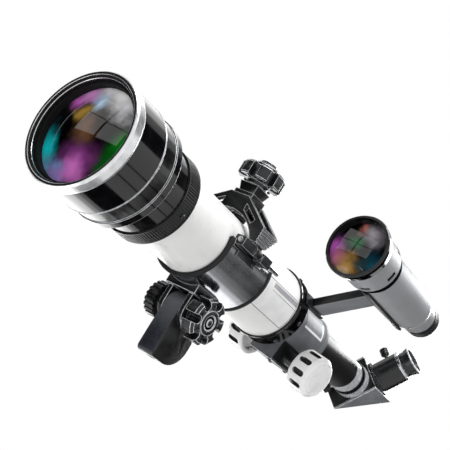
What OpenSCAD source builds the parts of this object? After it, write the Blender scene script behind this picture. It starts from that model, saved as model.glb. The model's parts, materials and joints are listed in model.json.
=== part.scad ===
// Small achromatic refractor on a tilting clamp foot, with a finder and a prism diagonal.
// Millimetres, +Z up. The tube points along -Y. The origin is the mouth of the threaded
// socket under the foot, straight below the tilt axis.

/* [Main tube] */
// Outside diameter of the main tube
tube_d = 60; // [54:0.5:64]
// Wall of the main tube
tube_wall = 1.5; // [1:0.1:2.5]
// Bare length of the main tube between its front and rear fittings
tube_bare = 170; // [150:1:200]
// Bare length of the main tube ahead of the tilt axis
tube_ahead = 86; // [70:1:100]
// Depth that the tube enters the neck and the rear cell
tube_grip = 9; // [6:0.5:12]

/* [Lens end] */
// Clear aperture of the objective
aperture_d = 70; // [66:0.5:76]
// Width of the glass that sits on the lens seat
lens_seat = 2.5; // [1.5:0.1:4]
// Wall of the lens barrel round the glass
barrel_wall = 5; // [4:0.1:7]
// Length of the lens barrel behind the bezel
barrel_len = 48; // [42:0.5:60]
// Length of the polished bezel
bezel_len = 10; // [8:0.5:14]
// Length of the neck behind the barrel
neck_len = 21; // [16:0.5:30]
// Wall of the neck round the tube
neck_wall = 4.5; // [3.5:0.1:6]
// Length of the ribbed ring
rib_len = 14; // [8:0.5:20]
// Number of ribs on the ribbed ring
rib_count = 110; // [60:1:130]
// Radius of the crown lens's front face
crown_front_r = 130; // [110:1:220]
// Radius of the face where the two lenses meet
crown_rear_r = 160; // [130:1:300]
// Edge thickness of the crown lens
crown_edge = 4; // [3:0.1:6]
// Edge thickness of the flint lens
flint_edge = 8.3; // [7.5:0.1:10]

/* [Rear cell and focuser] */
// Length of the rear cell
cell_len = 16; // [14:0.5:22]
// Length of the focuser body
focuser_len = 63; // [58:0.5:80]
// Wall of the focuser body
focuser_wall = 3; // [2.5:0.1:4]
// Angle that the focuser is turned about the tube's axis, near side down
focuser_turn = 8; // [0:1:15]
// Distance of the pinion behind the rear cell
pinion_back = 37; // [34:0.5:40]
// Width of the pinion block
block_w = 26; // [22:0.5:32]
// Length of the pinion block
block_len = 36; // [30:0.5:40]

/* [Drawtube] */
// Outside diameter of the drawtube
draw_d = 31; // [29:0.25:33]
// Wall of the drawtube
draw_wall = 1.75; // [1.5:0.05:2]
// Length of the drawtube that stands out of the focuser
draw_out = 71; // [60:1:80]
// Length of the drawtube inside the focuser and the tube
draw_in = 67; // [50:1:75]
// Length of the chrome collar on the drawtube
collar_len = 12; // [11:0.5:18]
// Bore of the collar and of the exit tube
socket_d = 24.6; // [24:0.1:25]
// Travel of the drawtube into the focuser
rack_in = 55; // [30:1:58]
// Travel of the drawtube out of the focuser
rack_out = 20; // [5:1:25]

/* [Rack and pinion] */
// Tooth module of the rack and the pinion
tooth_m = 1; // [0.8:0.1:1.2]
// Number of pinion teeth
pinion_teeth = 14; // [13:1:16]
// Width of the pinion
pinion_w = 8; // [6:0.5:9]
// Width of the rack
rack_w = 6; // [4:0.5:7]
// Play between the teeth, along the pitch line
backlash = 0.3; // [0.15:0.05:0.4]
// Diameter of the focus shaft
shaft_d = 6; // [5:0.5:7]

/* [Knobs] */
// Diameter of the focus knobs
focus_knob_d = 35; // [30:0.5:38]
// Length of the focus knobs
focus_knob_len = 20; // [18:0.5:26]
// Distance of the focus knobs from the middle
focus_knob_x = 28; // [27:0.5:34]
// Shift of the focus shaft towards the near side
shaft_shift = 2.3; // [0:0.1:3]
// Diameter of the tilt knob and the clamp knob
star_d = 36; // [32:0.5:40]
// Thickness of the lobes of the star knobs
star_t = 12; // [9:0.5:15]
// Number of lobes on a star knob
star_lobes = 7; // [6:1:8]
// Diameter of the ribbed hand nut
nut_d = 28; // [24:0.5:30]

/* [Cradle] */
// Length of the cradle along the tube
saddle_len = 62; // [58:0.5:74]
// Thickness of the cradle band
saddle_t = 1.5; // [1.2:0.1:2.5]
// Thickness of the felt liner
liner_t = 0.7; // [0.5:0.1:1.2]
// Angle from the top at which the cradle band ends
saddle_open = 72; // [68:1:74]
// Thickness of an ear
ear_t = 4; // [3:0.25:5]
// Radius of an ear round the tilt bolt
ear_r = 12.5; // [12:0.25:14]
// Width of the base above the ears
base_w = 30; // [28:0.5:36]
// Length of the base above the ears
base_len = 30; // [26:0.5:31]
// Thickness of the base below the band
base_t = 4; // [3:0.25:6]

/* [Clamp bridge] */
// Depth of the bridge along the tube
bridge_depth = 24; // [20:0.5:26]
// Thickness of a bridge plate
bridge_plate = 4; // [3:0.25:5]
// Height of the shoulder of the arch above the tube's surface
bridge_rise = 17.5; // [17:0.5:22]
// Half width of the bridge at its feet
bridge_half = 36; // [35.5:0.5:40]
// Height of the feet above the tube's axis
bridge_foot = 17; // [16.5:0.5:20]
// Height of the post below the clamp knob
post_h = 11; // [9:0.5:15]
// Diameter of the hinge pin
hinge_d = 4; // [3.5:0.5:4.5]
// Diameter of the clamp stud
stud_d = 6; // [5:0.5:7]

/* [Foot] */
// Height of the tilt axis above the bottom of the foot
pivot_h = 41; // [37:0.5:46]
// Width of the foot
foot_w = 16; // [14:0.5:20]
// Radius of the foot's tongue
tongue_r = 12; // [10:0.5:12]
// Reach of the foot ahead of the socket
foot_front = 12.5; // [12.5:0.5:16]
// Reach of the foot behind the socket
foot_rear = 22; // [20:0.5:24]
// Diameter of the tilt bolt
bolt_d = 6; // [5:0.5:8]
// Tapping diameter of the tripod thread
socket_thread_d = 5.1; // [5.1:0.1:6.5]
// Depth of the tripod thread
socket_depth = 10; // [8:0.5:14]

/* [Diagonal and eyepiece] */
// Angle of the exit from straight up, towards +X
exit_turn = 38; // [0:1:90]
// Length of the prism housing's square sides
prism_leg = 36; // [34:0.5:42]
// Reach of the prism housing's front face below the optical axis
prism_drop = 25; // [22:0.5:28]
// Width of the prism housing
prism_w = 35; // [33:0.5:42]
// Length of the exit tube
exit_len = 25; // [22:0.5:32]
// Wall of the exit tube
exit_wall = 1.2; // [1:0.1:2]
// Length of the eyepiece that stands out of the exit tube
eye_out = 13; // [11:0.5:25]

/* [Finder] */
// Angle of the finder from straight up, towards +X
finder_turn = 57; // [45:1:60]
// Distance from the tube's surface to the finder's axis
finder_off = 70; // [60:0.5:80]
// Distance of the finder's rim behind the tilt axis
finder_y = 32; // [30:0.5:36]
// Diameter of the finder's rim
finder_rim_d = 51; // [48:0.5:54]
// Diameter of the finder's body
finder_d = 37; // [34:0.5:40]
// Length of the finder's front rim
finder_rim_len = 10; // [8:0.5:12]
// Length of the finder's front collar
finder_collar_len = 23; // [20:0.5:28]
// Length of the finder's body
finder_body_len = 79; // [74:0.5:90]
// Length of the finder's neck
finder_neck_len = 9; // [8:0.5:14]
// Length of the finder's eyecup
finder_cup_len = 11; // [10.5:0.5:16]
// Width of the finder's arm along the tube
arm_w = 19; // [14:0.5:20]
// Thickness of the finder's arm
arm_t = 7; // [5:0.25:9]

/* [Hidden] */
$fn = 64;

// Clearances: still fit, running fit, free gap between moving pieces, and cutting overlap
fit = 0.03;
run = 0.06;
free = 0.3;
cut = 1;

// Radii round the optical axis
tube_r = tube_d / 2;
aperture_r = aperture_d / 2;
lens_r = aperture_r + lens_seat;
barrel_r = lens_r + barrel_wall;
bezel_r = barrel_r + 1;
retainer_r = lens_r + 1;
neck_r = tube_r + neck_wall;
spigot_r = neck_r - 2;
rib_r = neck_r + 1;
cell_r = tube_r + 1;
draw_r = draw_d / 2;
socket_r = socket_d / 2;
focuser_bore = draw_r + 1.1;
focuser_r = focuser_bore + focuser_wall;
liner_ri = tube_r + free;
saddle_ri = liner_ri + liner_t + fit;
saddle_ro = saddle_ri + saddle_t;

// Heights: the tilt axis clears the band's base, and the optical axis stands above it
base_drop = saddle_ro + base_t;
axis_h = pivot_h + tongue_r + free + base_drop;
base_z = axis_h - base_drop;

// Stations along the tube, from the front rim to the diagonal
front_y = -tube_ahead;
rib_y = front_y - rib_len;
neck_y = rib_y - neck_len;
barrel_y = neck_y - barrel_len;
rim_y = barrel_y - bezel_len;
cell_y = front_y + tube_bare;
focuser_y = cell_y + cell_len;
focuser_end = focuser_y + focuser_len;
pinion_y = focuser_y + pinion_back;
draw_end = focuser_end + draw_out;
collar_end = draw_end + collar_len;
knurl_neck = 4.5;
knurl_len = 8;
knurl_end = collar_end + knurl_neck + knurl_len;
diag_y = knurl_end + free;

// Bead round the front of the rear cell
cell_bead = 2.5;

// Lens cell
spacer_t = 0.6;
retainer_ri = aperture_r + 1;
spacer_ri = aperture_r + 1.2;
spacer_rise = crown_at(spacer_ri, lens_r, crown_rear_r);
lens_gap = crown_at(retainer_ri, lens_r, crown_front_r) + 0.1;
retainer_len = 5;
seat_z = lens_gap + crown_edge + spacer_t + flint_edge;
seat_t = 4;

// Rack and pinion: the rack stands on a flat milled into the drawtube
rack_floor = draw_r - draw_wall * 0.6;
rack_add = 0.75 * tooth_m;
rack_ded = 1.15 * tooth_m;
rack_back = 1.2;
rack_pitch_z = rack_floor + rack_back + rack_ded;
pitch_r = tooth_m * pinion_teeth / 2;
pinion_drop = rack_pitch_z + pitch_r;
pinion_tip = pitch_r + 0.85 * tooth_m;
pinion_root = pitch_r - 1.15 * tooth_m;
tooth_pitch = PI * tooth_m;
rack_spare = 6;
block_z = pinion_drop + pinion_tip + 0.6;
cover_t = 1.6;
boss_r = shaft_d / 2 + 3;
boss_half = focus_knob_x - 2;

// Tilt joint, from the tongue outwards
bolt_r = bolt_d / 2;
ear_in = foot_w / 2 + free;
ear_out = ear_in + ear_t;
washer_gap = 0.15;
washer_t = 1.2;
knob_x = ear_out + washer_gap + washer_t + washer_gap;
star_r = star_d / 2;
star_hub_h = 3.5;
nut_len = 13.5;
bolt_hold = 8;

// Clamp bridge, heights above the optical axis
hinge_r = hinge_d / 2;
barrel_hinge_r = hinge_r + 1.5;
plate_t = 1.2;
hinge_z = bridge_foot - barrel_hinge_r - 2.5;
hinge_rho = saddle_ro + plate_t + free + barrel_hinge_r;
hinge_x = sqrt(hinge_rho * hinge_rho - hinge_z * hinge_z);
leaf_y0 = -9.4;
leaf_y1 = 0.4;
knuckle_front = 18;
knuckle_rear = 13;
arch_r = saddle_ro + 1.7;
bridge_top = tube_r + bridge_rise;
post_top = bridge_top + post_h;
post_w = 18;
crown_t = 7;
stud_r = stud_d / 2;
rubber_t = 3;
shoe_t = 3.2;
shoe_r = bridge_depth / 2 - bridge_plate - 1.5;
shoe_z = tube_r + free + rubber_t;
stud_z = shoe_z + 0.8;
clamp_z = post_top + free + 0.1;
bush_r = stud_r + 2.5;

// Diagonal, eyepiece and thumbscrews
nose_r = socket_r - run;
nose_wall = 1.4;
nose_len = 22;
exit_r = socket_r + exit_wall;
exit_top = prism_leg / 2 + exit_len;
screw_r = 1.5;
thumb_r = 3.8;
thumb_len = 6;

// Finder, in its own frame on the arm
finder_rho = tube_r + finder_off;
finder_rim_r = finder_rim_d / 2;
finder_r = finder_d / 2;
finder_collar_r = finder_rim_r - 3;
finder_wall = 2;
finder_band_len = 6;
finder_body_y = finder_y + finder_rim_len + finder_collar_len + finder_band_len;
finder_neck_y = finder_body_y + finder_body_len;
finder_neck_r = finder_r - 4;
finder_eye_r = finder_neck_r - 2.5;
finder_lens_r = finder_rim_r - 2.6;
finder_lens_y = 3;
finder_glass = 6;
finder_bulge = 110;
finder_shoulder = 12;
reticle_in = 18;
finder_cradle_t = 2;
finder_cradle_y = finder_body_y + 5;
finder_cradle_len = finder_body_len - 12;
arm_y = focuser_y + 2;
shoe_w = 10;
shoe_y = cell_y + cell_len - 8;
shoe_len = arm_y + arm_w + 2 - shoe_y;
shoe_top = cell_r + 1.6;

// Height of a spherical face of radius R above its edge of radius r, at radius x
function crown_at(x, r, R) = sqrt(R * R - x * x) - sqrt(R * R - r * r);

// Points of a lens face from the middle outwards, with the edge at z and the bulge along way
function lens_face(r, z, R, way, n = 10) =
    [for (i = [0:n]) let (x = r * i / n) [x, z + way * crown_at(x, r, R)]];
function backwards(list) = [for (i = [len(list) - 1:-1:0]) list[i]];

// Points on an arc of a circle
function arc(centre, r, from, to, n) = [for (i = [0:n]) let (a = from + (to - from) * i / n)
    [centre[0] + r * cos(a), centre[1] + r * sin(a)]];

// Outline of a ring of ribs with grooves of the given depth between them
function rib_outline(r, depth, n) = [for (i = [0:n - 1], p = [[0, 0], [0.5, 0], [0.62, 1], [0.88, 1]])
    let (a = 360 * (i + p[0]) / n) (r - depth * p[1]) * [cos(a), sin(a)]];

// Half of a pinion tooth's thickness at radius r, in degrees
pressure = 20;
base_r = pitch_r * cos(pressure);
function involute(a) = tan(a) - a * PI / 180;
function tooth_half(r) = 90 / pinion_teeth - backlash / 4 / pitch_r * 180 / PI
    + (involute(pressure) - involute(acos(min(1, base_r / r)))) * 180 / PI;
tooth_radii = [pinion_root, base_r, (base_r + pitch_r) / 2, pitch_r, (pitch_r + pinion_tip) / 2, pinion_tip];
function polar(r, a) = r * [cos(a), sin(a)];
pinion_outline = [for (i = [0:pinion_teeth - 1]) let (mid = 90 + 360 * i / pinion_teeth)
    each concat([for (r = tooth_radii) polar(r, mid - tooth_half(r))],
        [for (r = backwards(tooth_radii)) polar(r, mid + tooth_half(r))])];

// Stands a shape made along +Z on the optical axis at y, pointing rearwards
module on_axis(y) {
    translate([0, y, axis_h]) rotate([-90, 0, 0]) children();
}

// Turns a shape about the optical axis, from straight up towards +X
module clock(a) {
    translate([0, 0, axis_h]) rotate([0, a, 0]) children();
}

// Stands a shape made along +Z on a cross axis at x, pointing along +X
module across(x, y, z) {
    translate([x, y, z]) rotate([0, 90, 0]) children();
}

// Extrudes an outline drawn in Y and Z by w, centred on x
module slab_x(w, x = 0) {
    translate([x, 0, 0]) rotate([90, 0, 90]) linear_extrude(w, center = true) children();
}

// Extrudes an outline drawn in X and Z from y0 to y1
module slab_y(y0, y1) {
    translate([0, y1, 0]) rotate([90, 0, 0]) linear_extrude(y1 - y0) children();
}

module turned(points) {
    rotate_extrude() polygon(points);
}

module ring(ro, ri, h) {
    rotate_extrude() translate([ri, 0]) square([ro - ri, h]);
}

// Part of a ring round the tube, between two angles from the top towards +X
module band(ri, ro, h, from, to) {
    rotate([0, 0, from - 90]) rotate_extrude(angle = to - from) translate([ri, 0]) square([ro - ri, h]);
}

module ribbed(r, depth, n, h) {
    linear_extrude(h) polygon(rib_outline(r, depth, n));
}

// Lobed hand knob with U-shaped notches, a hub below and a seat for a cap in its face
module star_knob(bore_r, bore_depth, cap_r, cap_seat) {
    notch_r = star_r * 0.18;
    notch_in = star_r * 0.25;
    difference() {
        union() {
            cylinder(r = star_r * 0.5, h = star_hub_h + cut);
            translate([0, 0, star_hub_h]) turned([[0, 0], [star_r - 1, 0], [star_r, 1], [star_r, star_t - 2],
                [star_r - 2, star_t], [0, star_t]]);
        }
        for (i = [0:star_lobes - 1]) rotate([0, 0, 360 * (i + 0.5) / star_lobes]) {
            translate([star_r - notch_in, 0, star_hub_h - cut]) cylinder(r = notch_r, h = star_t + 2 * cut);
            translate([star_r - notch_in, -notch_r, star_hub_h - cut])
                cube([notch_in + cut, 2 * notch_r, star_t + 2 * cut]);
        }
        translate([0, 0, star_hub_h + star_t - cap_seat]) cylinder(r = cap_r + fit, h = cap_seat + cut);
        translate([0, 0, -cut]) cylinder(r = bore_r, h = bore_depth + cut);
    }
}

// Thumbscrew pointing along +Z: a shank from tip to head, and a ribbed head
module thumbscrew(tip, head) {
    translate([0, 0, tip]) cylinder(r = screw_r, h = head - tip + cut);
    translate([0, 0, head]) cylinder(r = thumb_r - 1, h = 1 + fit);
    translate([0, 0, head + 1]) ribbed(thumb_r, 0.5, 16, thumb_len);
}

// Foot body

// The flat round the socket ends at foot_flat, where the round heel begins
toe_r = 4;
foot_flat = 4;
heel_r = foot_rear - foot_flat;
module tripod_foot() color("#2b2f36") difference() {
    slab_x(foot_w) union() {
        translate([0, pivot_h]) circle(tongue_r);
        polygon(concat(
            [[-tongue_r, pivot_h], [-tongue_r, pivot_h - 7], [-foot_front, pivot_h / 2]],
            arc([toe_r - foot_front, toe_r], toe_r, 180, 270, 6),
            arc([foot_flat, heel_r], heel_r, 270, 360, 12),
            [[foot_rear, pivot_h - 17], [tongue_r * cos(33), pivot_h + tongue_r * sin(33)]]));
    }
    across(-foot_w, 0, pivot_h) cylinder(r = bolt_r + fit, h = 2 * foot_w);
    translate([0, 0, -cut]) cylinder(r = socket_thread_d / 2, h = socket_depth + cut);
}

module tilt_bolt() color("silver")
    across(-knob_x - bolt_hold, 0, pivot_h) cylinder(r = bolt_r, h = 2 * (knob_x + bolt_hold));

module tilt_washers() color("silver") for (x = [ear_out + washer_gap, -ear_out - washer_gap - washer_t])
    across(x, 0, pivot_h) ring(bolt_r + 4, bolt_r + fit, washer_t);

cap_r = star_r * 0.55;
cap_seat = 1.5;
module tilt_knob() color("#1c1d1f") across(knob_x, 0, pivot_h)
    star_knob(bolt_r + run, bolt_hold + free, cap_r, cap_seat);

module tilt_cap() color("#2e2f32") across(knob_x + star_hub_h + star_t - cap_seat, 0, pivot_h)
    turned([[0, 0], [cap_r, 0], [cap_r, cap_seat], [cap_r - 0.6, cap_seat + 0.6],
        [cap_r * 0.6, cap_seat + 0.6], [cap_r * 0.55, cap_seat], [cap_r * 0.3, cap_seat],
        [cap_r * 0.25, cap_seat + 0.5], [0, cap_seat + 0.5]]);

module tilt_nut() color("#1c1d1f") difference() {
    across(-knob_x - nut_len, 0, pivot_h) union() {
        turned([[0, 0], [nut_d / 2 - 3, 0], [nut_d / 2 - 1, 1.5], [nut_d / 2 - 1, nut_len - 3],
            [nut_d / 2 - 4, nut_len - 2], [nut_d / 2 - 4, nut_len], [0, nut_len]]);
        translate([0, 0, 1.5]) ribbed(nut_d / 2, 1.2, 20, nut_len - 4.5);
    }
    across(-knob_x - bolt_hold - free, 0, pivot_h) cylinder(r = bolt_r + run, h = bolt_hold + free + cut);
}

// Cradle body

edging_len = 3;
module saddle() color("#8b8d90") on_axis(-saddle_len / 2 + edging_len)
    band(saddle_ri, saddle_ro, saddle_len - 2 * edging_len, saddle_open, 360 - saddle_open);

module saddle_edging() color("#151515") for (y = [-saddle_len / 2, saddle_len / 2 - edging_len])
    on_axis(y) band(saddle_ri, saddle_ro + 0.7, edging_len, saddle_open, 360 - saddle_open);

module saddle_liner() color("#202020") on_axis(-saddle_len / 2)
    band(liner_ri, liner_ri + liner_t, saddle_len, saddle_open + 1, 359 - saddle_open);

module ear_bracket() color("#1b1c1e") difference() {
    union() {
        translate([-base_w / 2, -base_len / 2, base_z]) cube([base_w, base_len, base_t + saddle_ro * 0.2]);
        for (side = [-1, 1]) slab_x(ear_t, side * (ear_in + ear_t / 2)) union() {
            translate([0, pivot_h]) circle(ear_r);
            translate([-ear_r, pivot_h]) square([2 * ear_r, base_z + base_t / 2 - pivot_h]);
        }
    }
    on_axis(-saddle_len) cylinder(r = saddle_ro + fit, h = 2 * saddle_len);
    across(-ear_out - cut, 0, pivot_h) cylinder(r = bolt_r + run, h = 2 * (ear_out + cut));
}

knuckle_down = barrel_hinge_r + 0.5;
knuckle_up = hinge_r + 1.2;
knuckle_out = barrel_hinge_r + 0.5;
knuckle_in = 0.4;
knuckle_y0 = leaf_y0 - free;
knuckle_y1 = leaf_y1 + free;
plate_y0 = knuckle_y0 - knuckle_front;
plate_y1 = knuckle_y1 + knuckle_rear;
catch_half = 14;

// Curved plate on one side of the band, below the band's open edge, still to be cut to the band
module side_plate(side, y0, y1, deep) {
    on_axis(y0) band(saddle_ro - plate_t, saddle_ro + plate_t, y1 - y0,
        side > 0 ? saddle_open : 360 - saddle_open - deep, side > 0 ? saddle_open + deep : 360 - saddle_open);
}

// Stepped plate on the near side, deeper in the middle, with the two hinge knuckles
plate_deep = 17;
plate_step_z = 5;
plate_step_front = 8;
plate_step_rear = 8;
module hinge_plate() color("#1b1c1e") difference() {
    union() {
        difference() {
            side_plate(1, plate_y0, plate_y1, plate_deep);
            for (y = [plate_y0 - cut, plate_y1 - plate_step_rear])
                translate([0, y, axis_h - saddle_ro])
                    cube([2 * saddle_ro, plate_step_front + cut, saddle_ro + plate_step_z]);
        }
        for (y = [[plate_y0 + knuckle_in, knuckle_y0], [knuckle_y1, plate_y1 - knuckle_in]])
            translate([saddle_ro - 2, y[0], axis_h + hinge_z - knuckle_down])
                cube([hinge_x - saddle_ro + 2 + knuckle_out, y[1] - y[0], knuckle_down + knuckle_up]);
    }
    on_axis(-saddle_len) cylinder(r = saddle_ro + fit, h = 2 * saddle_len);
    translate([hinge_x, plate_y0 - cut, axis_h + hinge_z]) rotate([-90, 0, 0])
        cylinder(r = hinge_r + fit, h = plate_y1 - plate_y0 + 2 * cut);
}

hinge_tail = 17;
module hinge_pin() color("silver") translate([hinge_x, plate_y0 - 1, axis_h + hinge_z]) rotate([-90, 0, 0])
    cylinder(r = hinge_r, h = plate_y1 - plate_y0 + 1 + hinge_tail);

module catch_plate() color("#1b1c1e") difference() {
    union() {
        side_plate(-1, -catch_half, catch_half, 14);
        translate([-bridge_half, -catch_half, axis_h + hinge_z - knuckle_down])
            cube([bridge_half - saddle_ro + 2, bridge_depth, bridge_foot - free - hinge_z + knuckle_down]);
    }
    on_axis(-saddle_len) cylinder(r = saddle_ro + fit, h = 2 * saddle_len);
}

// Clamp bridge body

bridge_mid = bridge_depth / 2 - bridge_plate;
leaf_t = 3;
shoulder_z = bridge_foot + 12.5;
module bridge_arch() {
    foot_in = sqrt(arch_r * arch_r - bridge_foot * bridge_foot);
    foot_a = asin(bridge_foot / arch_r);
    polygon(concat([[-bridge_half, bridge_foot], [-bridge_half, shoulder_z], [-post_w / 2, bridge_top],
        [post_w / 2, bridge_top], [bridge_half, shoulder_z], [bridge_half, bridge_foot]],
        arc([0, 0], arch_r, foot_a, 180 - foot_a, 20)));
}

// Window in a bridge plate, between the crown block, the arch and the sloping shoulder
module bridge_window(side) {
    mirror([side < 0 ? 1 : 0, 0]) polygon([[post_w / 2 + 2, arch_r + 2.3],
        [post_w / 2 + 2, bridge_top - 6], [bridge_half * 0.7, shoulder_z + 2.5],
        [bridge_half * 0.64, arch_r * 0.83]]);
}

// Ribbed block at one foot of the arch, narrowing towards the front as it goes down
rib_step = 2.4;
module bridge_foot_block(side) {
    inner = arch_r * 0.7;
    high = shoulder_z - bridge_foot;
    mirror([side < 0 ? 1 : 0, 0, 0]) {
        translate([inner, -bridge_depth / 2, bridge_foot]) cube([bridge_half - inner, bridge_depth, high]);
        for (i = [0:floor(high / rib_step) - 1])
            translate([bridge_half - rib_step / 2, -bridge_depth / 2, bridge_foot + (i + 0.3) * rib_step])
                cube([rib_step / 2 + 0.7, bridge_depth, rib_step * 0.5]);
    }
}

// Wedge cut from the rear of a foot block
module bridge_foot_cut(side) {
    translate([side * bridge_half, 0, 0]) slab_x(bridge_half) polygon([
        [bridge_depth / 2 - 10, bridge_foot - cut], [bridge_depth / 2 + cut, shoulder_z + 4],
        [bridge_depth / 2 + cut, bridge_foot - cut]]);
}

module clamp_bridge() color("#1d1e20") translate([0, 0, axis_h]) difference() {
    union() {
        for (y = [-bridge_depth / 2, bridge_mid]) slab_y(y, y + bridge_plate) difference() {
            bridge_arch();
            for (side = [-1, 1]) bridge_window(side);
        }
        translate([-post_w / 2, -bridge_mid - fit, bridge_top - crown_t])
            cube([post_w, 2 * (bridge_mid + fit), crown_t]);
        for (side = [-1, 1]) bridge_foot_block(side);
        translate([-post_w / 2, -post_w / 2, bridge_top - fit]) cube([post_w, post_w, post_h * 0.35]);
        translate([0, 0, bridge_top + post_h * 0.3]) rotate([0, 0, 45])
            cylinder(r1 = post_w * 0.38 * sqrt(2), r2 = post_w * 0.5 * sqrt(2), h = post_h * 0.7, $fn = 4);
        translate([hinge_x, leaf_y0, hinge_z]) rotate([-90, 0, 0])
            cylinder(r = barrel_hinge_r, h = leaf_y1 - leaf_y0);
        translate([hinge_x - leaf_t, leaf_y0, hinge_z])
            cube([leaf_t, leaf_y1 - leaf_y0, bridge_foot - hinge_z + cut]);
    }
    for (side = [-1, 1]) bridge_foot_cut(side);
    translate([hinge_x, -bridge_depth, hinge_z]) rotate([-90, 0, 0])
        cylinder(r = hinge_r + run, h = 2 * bridge_depth);
    rotate([-90, 0, 0]) translate([0, 0, -bridge_depth]) cylinder(r = arch_r, h = 2 * bridge_depth);
    cylinder(r = bush_r + fit, h = post_top + cut);
}

bush_z = bridge_top - crown_t;
module clamp_bush() color("goldenrod") translate([0, 0, axis_h + bush_z])
    ring(bush_r, stud_r + run, post_top - bush_z);

module clamp_shoe() color("silver") translate([0, 0, axis_h + shoe_z]) difference() {
    turned([[0, 0], [shoe_r, 0], [shoe_r, 1.2], [stud_r + 1.5, shoe_t], [0, shoe_t]]);
    translate([0, 0, stud_z - shoe_z]) cylinder(r = stud_r - 1 + run, h = shoe_t);
}

module clamp_rubber() color("#111111") translate([0, 0, axis_h + shoe_z - rubber_t])
    cylinder(r = shoe_r + 0.5, h = rubber_t);

stud_neck = shoe_z + shoe_t + free - stud_z;
module clamp_stud() color("silver") translate([0, 0, axis_h + stud_z + run])
    turned([[0, 0], [stud_r - 1, 0], [stud_r - 1, stud_neck], [stud_r, stud_neck + 1],
        [stud_r, clamp_z - stud_z + bolt_hold], [0, clamp_z - stud_z + bolt_hold]]);

module clamp_knob() color("#1c1d1f") translate([0, 0, axis_h + clamp_z])
    star_knob(stud_r + fit, bolt_hold + free, cap_r, cap_seat);

module clamp_cap() color("#2e2f32") translate([0, 0, axis_h + clamp_z + star_hub_h + star_t - cap_seat])
    turned([[0, 0], [cap_r, 0], [cap_r, cap_seat + 2], [cap_r - 1.5, cap_seat + 3.5],
        [cap_r - 3, cap_seat + 3.5], [cap_r - 3.5, cap_seat + 5.5], [0, cap_seat + 6]]);

// Optical tube body: the tube and the lens end

module main_tube() color("white") on_axis(rib_y - tube_grip)
    ring(tube_r, tube_r - tube_wall, tube_bare + rib_len + 2 * tube_grip);

// Two blackened stops, each as wide as the light cone there
baffle_t = 1;
module baffles() color("#111111") for (share = [0.22, 0.55]) on_axis(front_y + tube_bare * share)
    ring(tube_r - tube_wall - fit, aperture_r * (0.76 - 0.44 * share), baffle_t);

module bezel() color("#d9dadb") on_axis(rim_y)
    turned([[retainer_r + fit, 2.2], [retainer_r + 1.8, 0], [bezel_r - 1.2, 0], [bezel_r, 1.6],
        [bezel_r, bezel_len - 1.5], [barrel_r, bezel_len], [retainer_r + fit, bezel_len]]);

module lens_retainer() color("#151515") on_axis(barrel_y - retainer_len)
    turned([[retainer_ri, retainer_len], [retainer_ri + 0.6, 0], [retainer_r, 0],
        [retainer_r, retainer_len]]);

module crown_lens() color("#b9c9e8") on_axis(barrel_y + lens_gap)
    turned(concat(lens_face(lens_r, 0, crown_front_r, -1),
        backwards(lens_face(lens_r, crown_edge, crown_rear_r, 1))));

module lens_spacer() color("#111111") on_axis(barrel_y + lens_gap + crown_edge)
    turned([[spacer_ri, spacer_rise + fit], [lens_r, fit], [lens_r, spacer_t - fit],
        [spacer_ri, spacer_t + spacer_rise - fit]]);

module flint_lens() color("#a9bfd8") on_axis(barrel_y + lens_gap + crown_edge + spacer_t)
    turned(concat(lens_face(lens_r, 0, crown_rear_r, 1), [[lens_r, flint_edge], [0, flint_edge]]));

bead_z = 25.5;
lip_len = 7;
spigot_len = 4;
module barrel() color("#101114") on_axis(barrel_y)
    turned([[lens_r + fit, 0], [barrel_r, 0], [barrel_r, bead_z], [barrel_r + 0.4, bead_z + 0.4],
        [barrel_r + 0.4, bead_z + 1.1], [barrel_r - 0.9, bead_z + 1.6],
        [barrel_r - 1.3, barrel_len - lip_len - 0.6], [barrel_r - 0.4, barrel_len - lip_len],
        [barrel_r - 0.4, barrel_len - 1], [barrel_r - 1.4, barrel_len],
        [spigot_r + fit, barrel_len], [spigot_r + fit, barrel_len - spigot_len],
        [lens_r, barrel_len - spigot_len], [lens_r, seat_z + seat_t], [aperture_r, seat_z + seat_t],
        [aperture_r, seat_z], [lens_r + fit, seat_z]]);

module neck() color("#101114") on_axis(neck_y)
    turned([[tube_r - 0.6, -spigot_len], [spigot_r, -spigot_len], [spigot_r, 0], [neck_r, 0],
        [neck_r, neck_len], [tube_r + fit, neck_len], [tube_r + fit, neck_len - tube_grip],
        [tube_r - 0.6, neck_len - tube_grip]]);

module ribbed_ring() color("#232427") on_axis(rib_y) difference() {
    union() {
        ribbed(rib_r, 0.7, rib_count, rib_len);
        cylinder(r = rib_r + 0.1, h = 1);
        translate([0, 0, rib_len - 1]) cylinder(r = rib_r + 0.1, h = 1);
    }
    translate([0, 0, -cut]) cylinder(r = tube_r + fit, h = rib_len + 2 * cut);
}

// Optical tube body: the rear cell and the focuser

// Turns what belongs to the focuser about the optical axis
module in_focuser() {
    clock(focuser_turn) translate([0, 0, -axis_h]) children();
}

// Passage for the drawtube and for the rack under it
module draw_passage(r, y0, y1) {
    on_axis(y0) cylinder(r = r, h = y1 - y0);
    translate([-rack_w / 2 - free, y0, axis_h - rack_pitch_z - rack_add - free])
        cube([rack_w + 2 * free, y1 - y0, rack_pitch_z]);
}

cell_wall = cell_len - tube_grip - 0.2;
module rear_cell() color("#141518") difference() {
    on_axis(cell_y) turned([[0, cell_len - cell_wall], [tube_r + fit, cell_len - cell_wall],
        [tube_r + fit, 0], [cell_r + 0.4, 0], [cell_r + 0.6, cell_bead / 2], [cell_r + 0.4, cell_bead],
        [cell_r - 0.4, cell_bead + 0.5], [cell_r - 0.4, cell_bead + 1], [cell_r, cell_bead + 1.3],
        [cell_r, cell_len - 1], [cell_r - 1, cell_len], [0, cell_len]]);
    in_focuser() draw_passage(focuser_bore, cell_y, focuser_y + cut);
}

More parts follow.
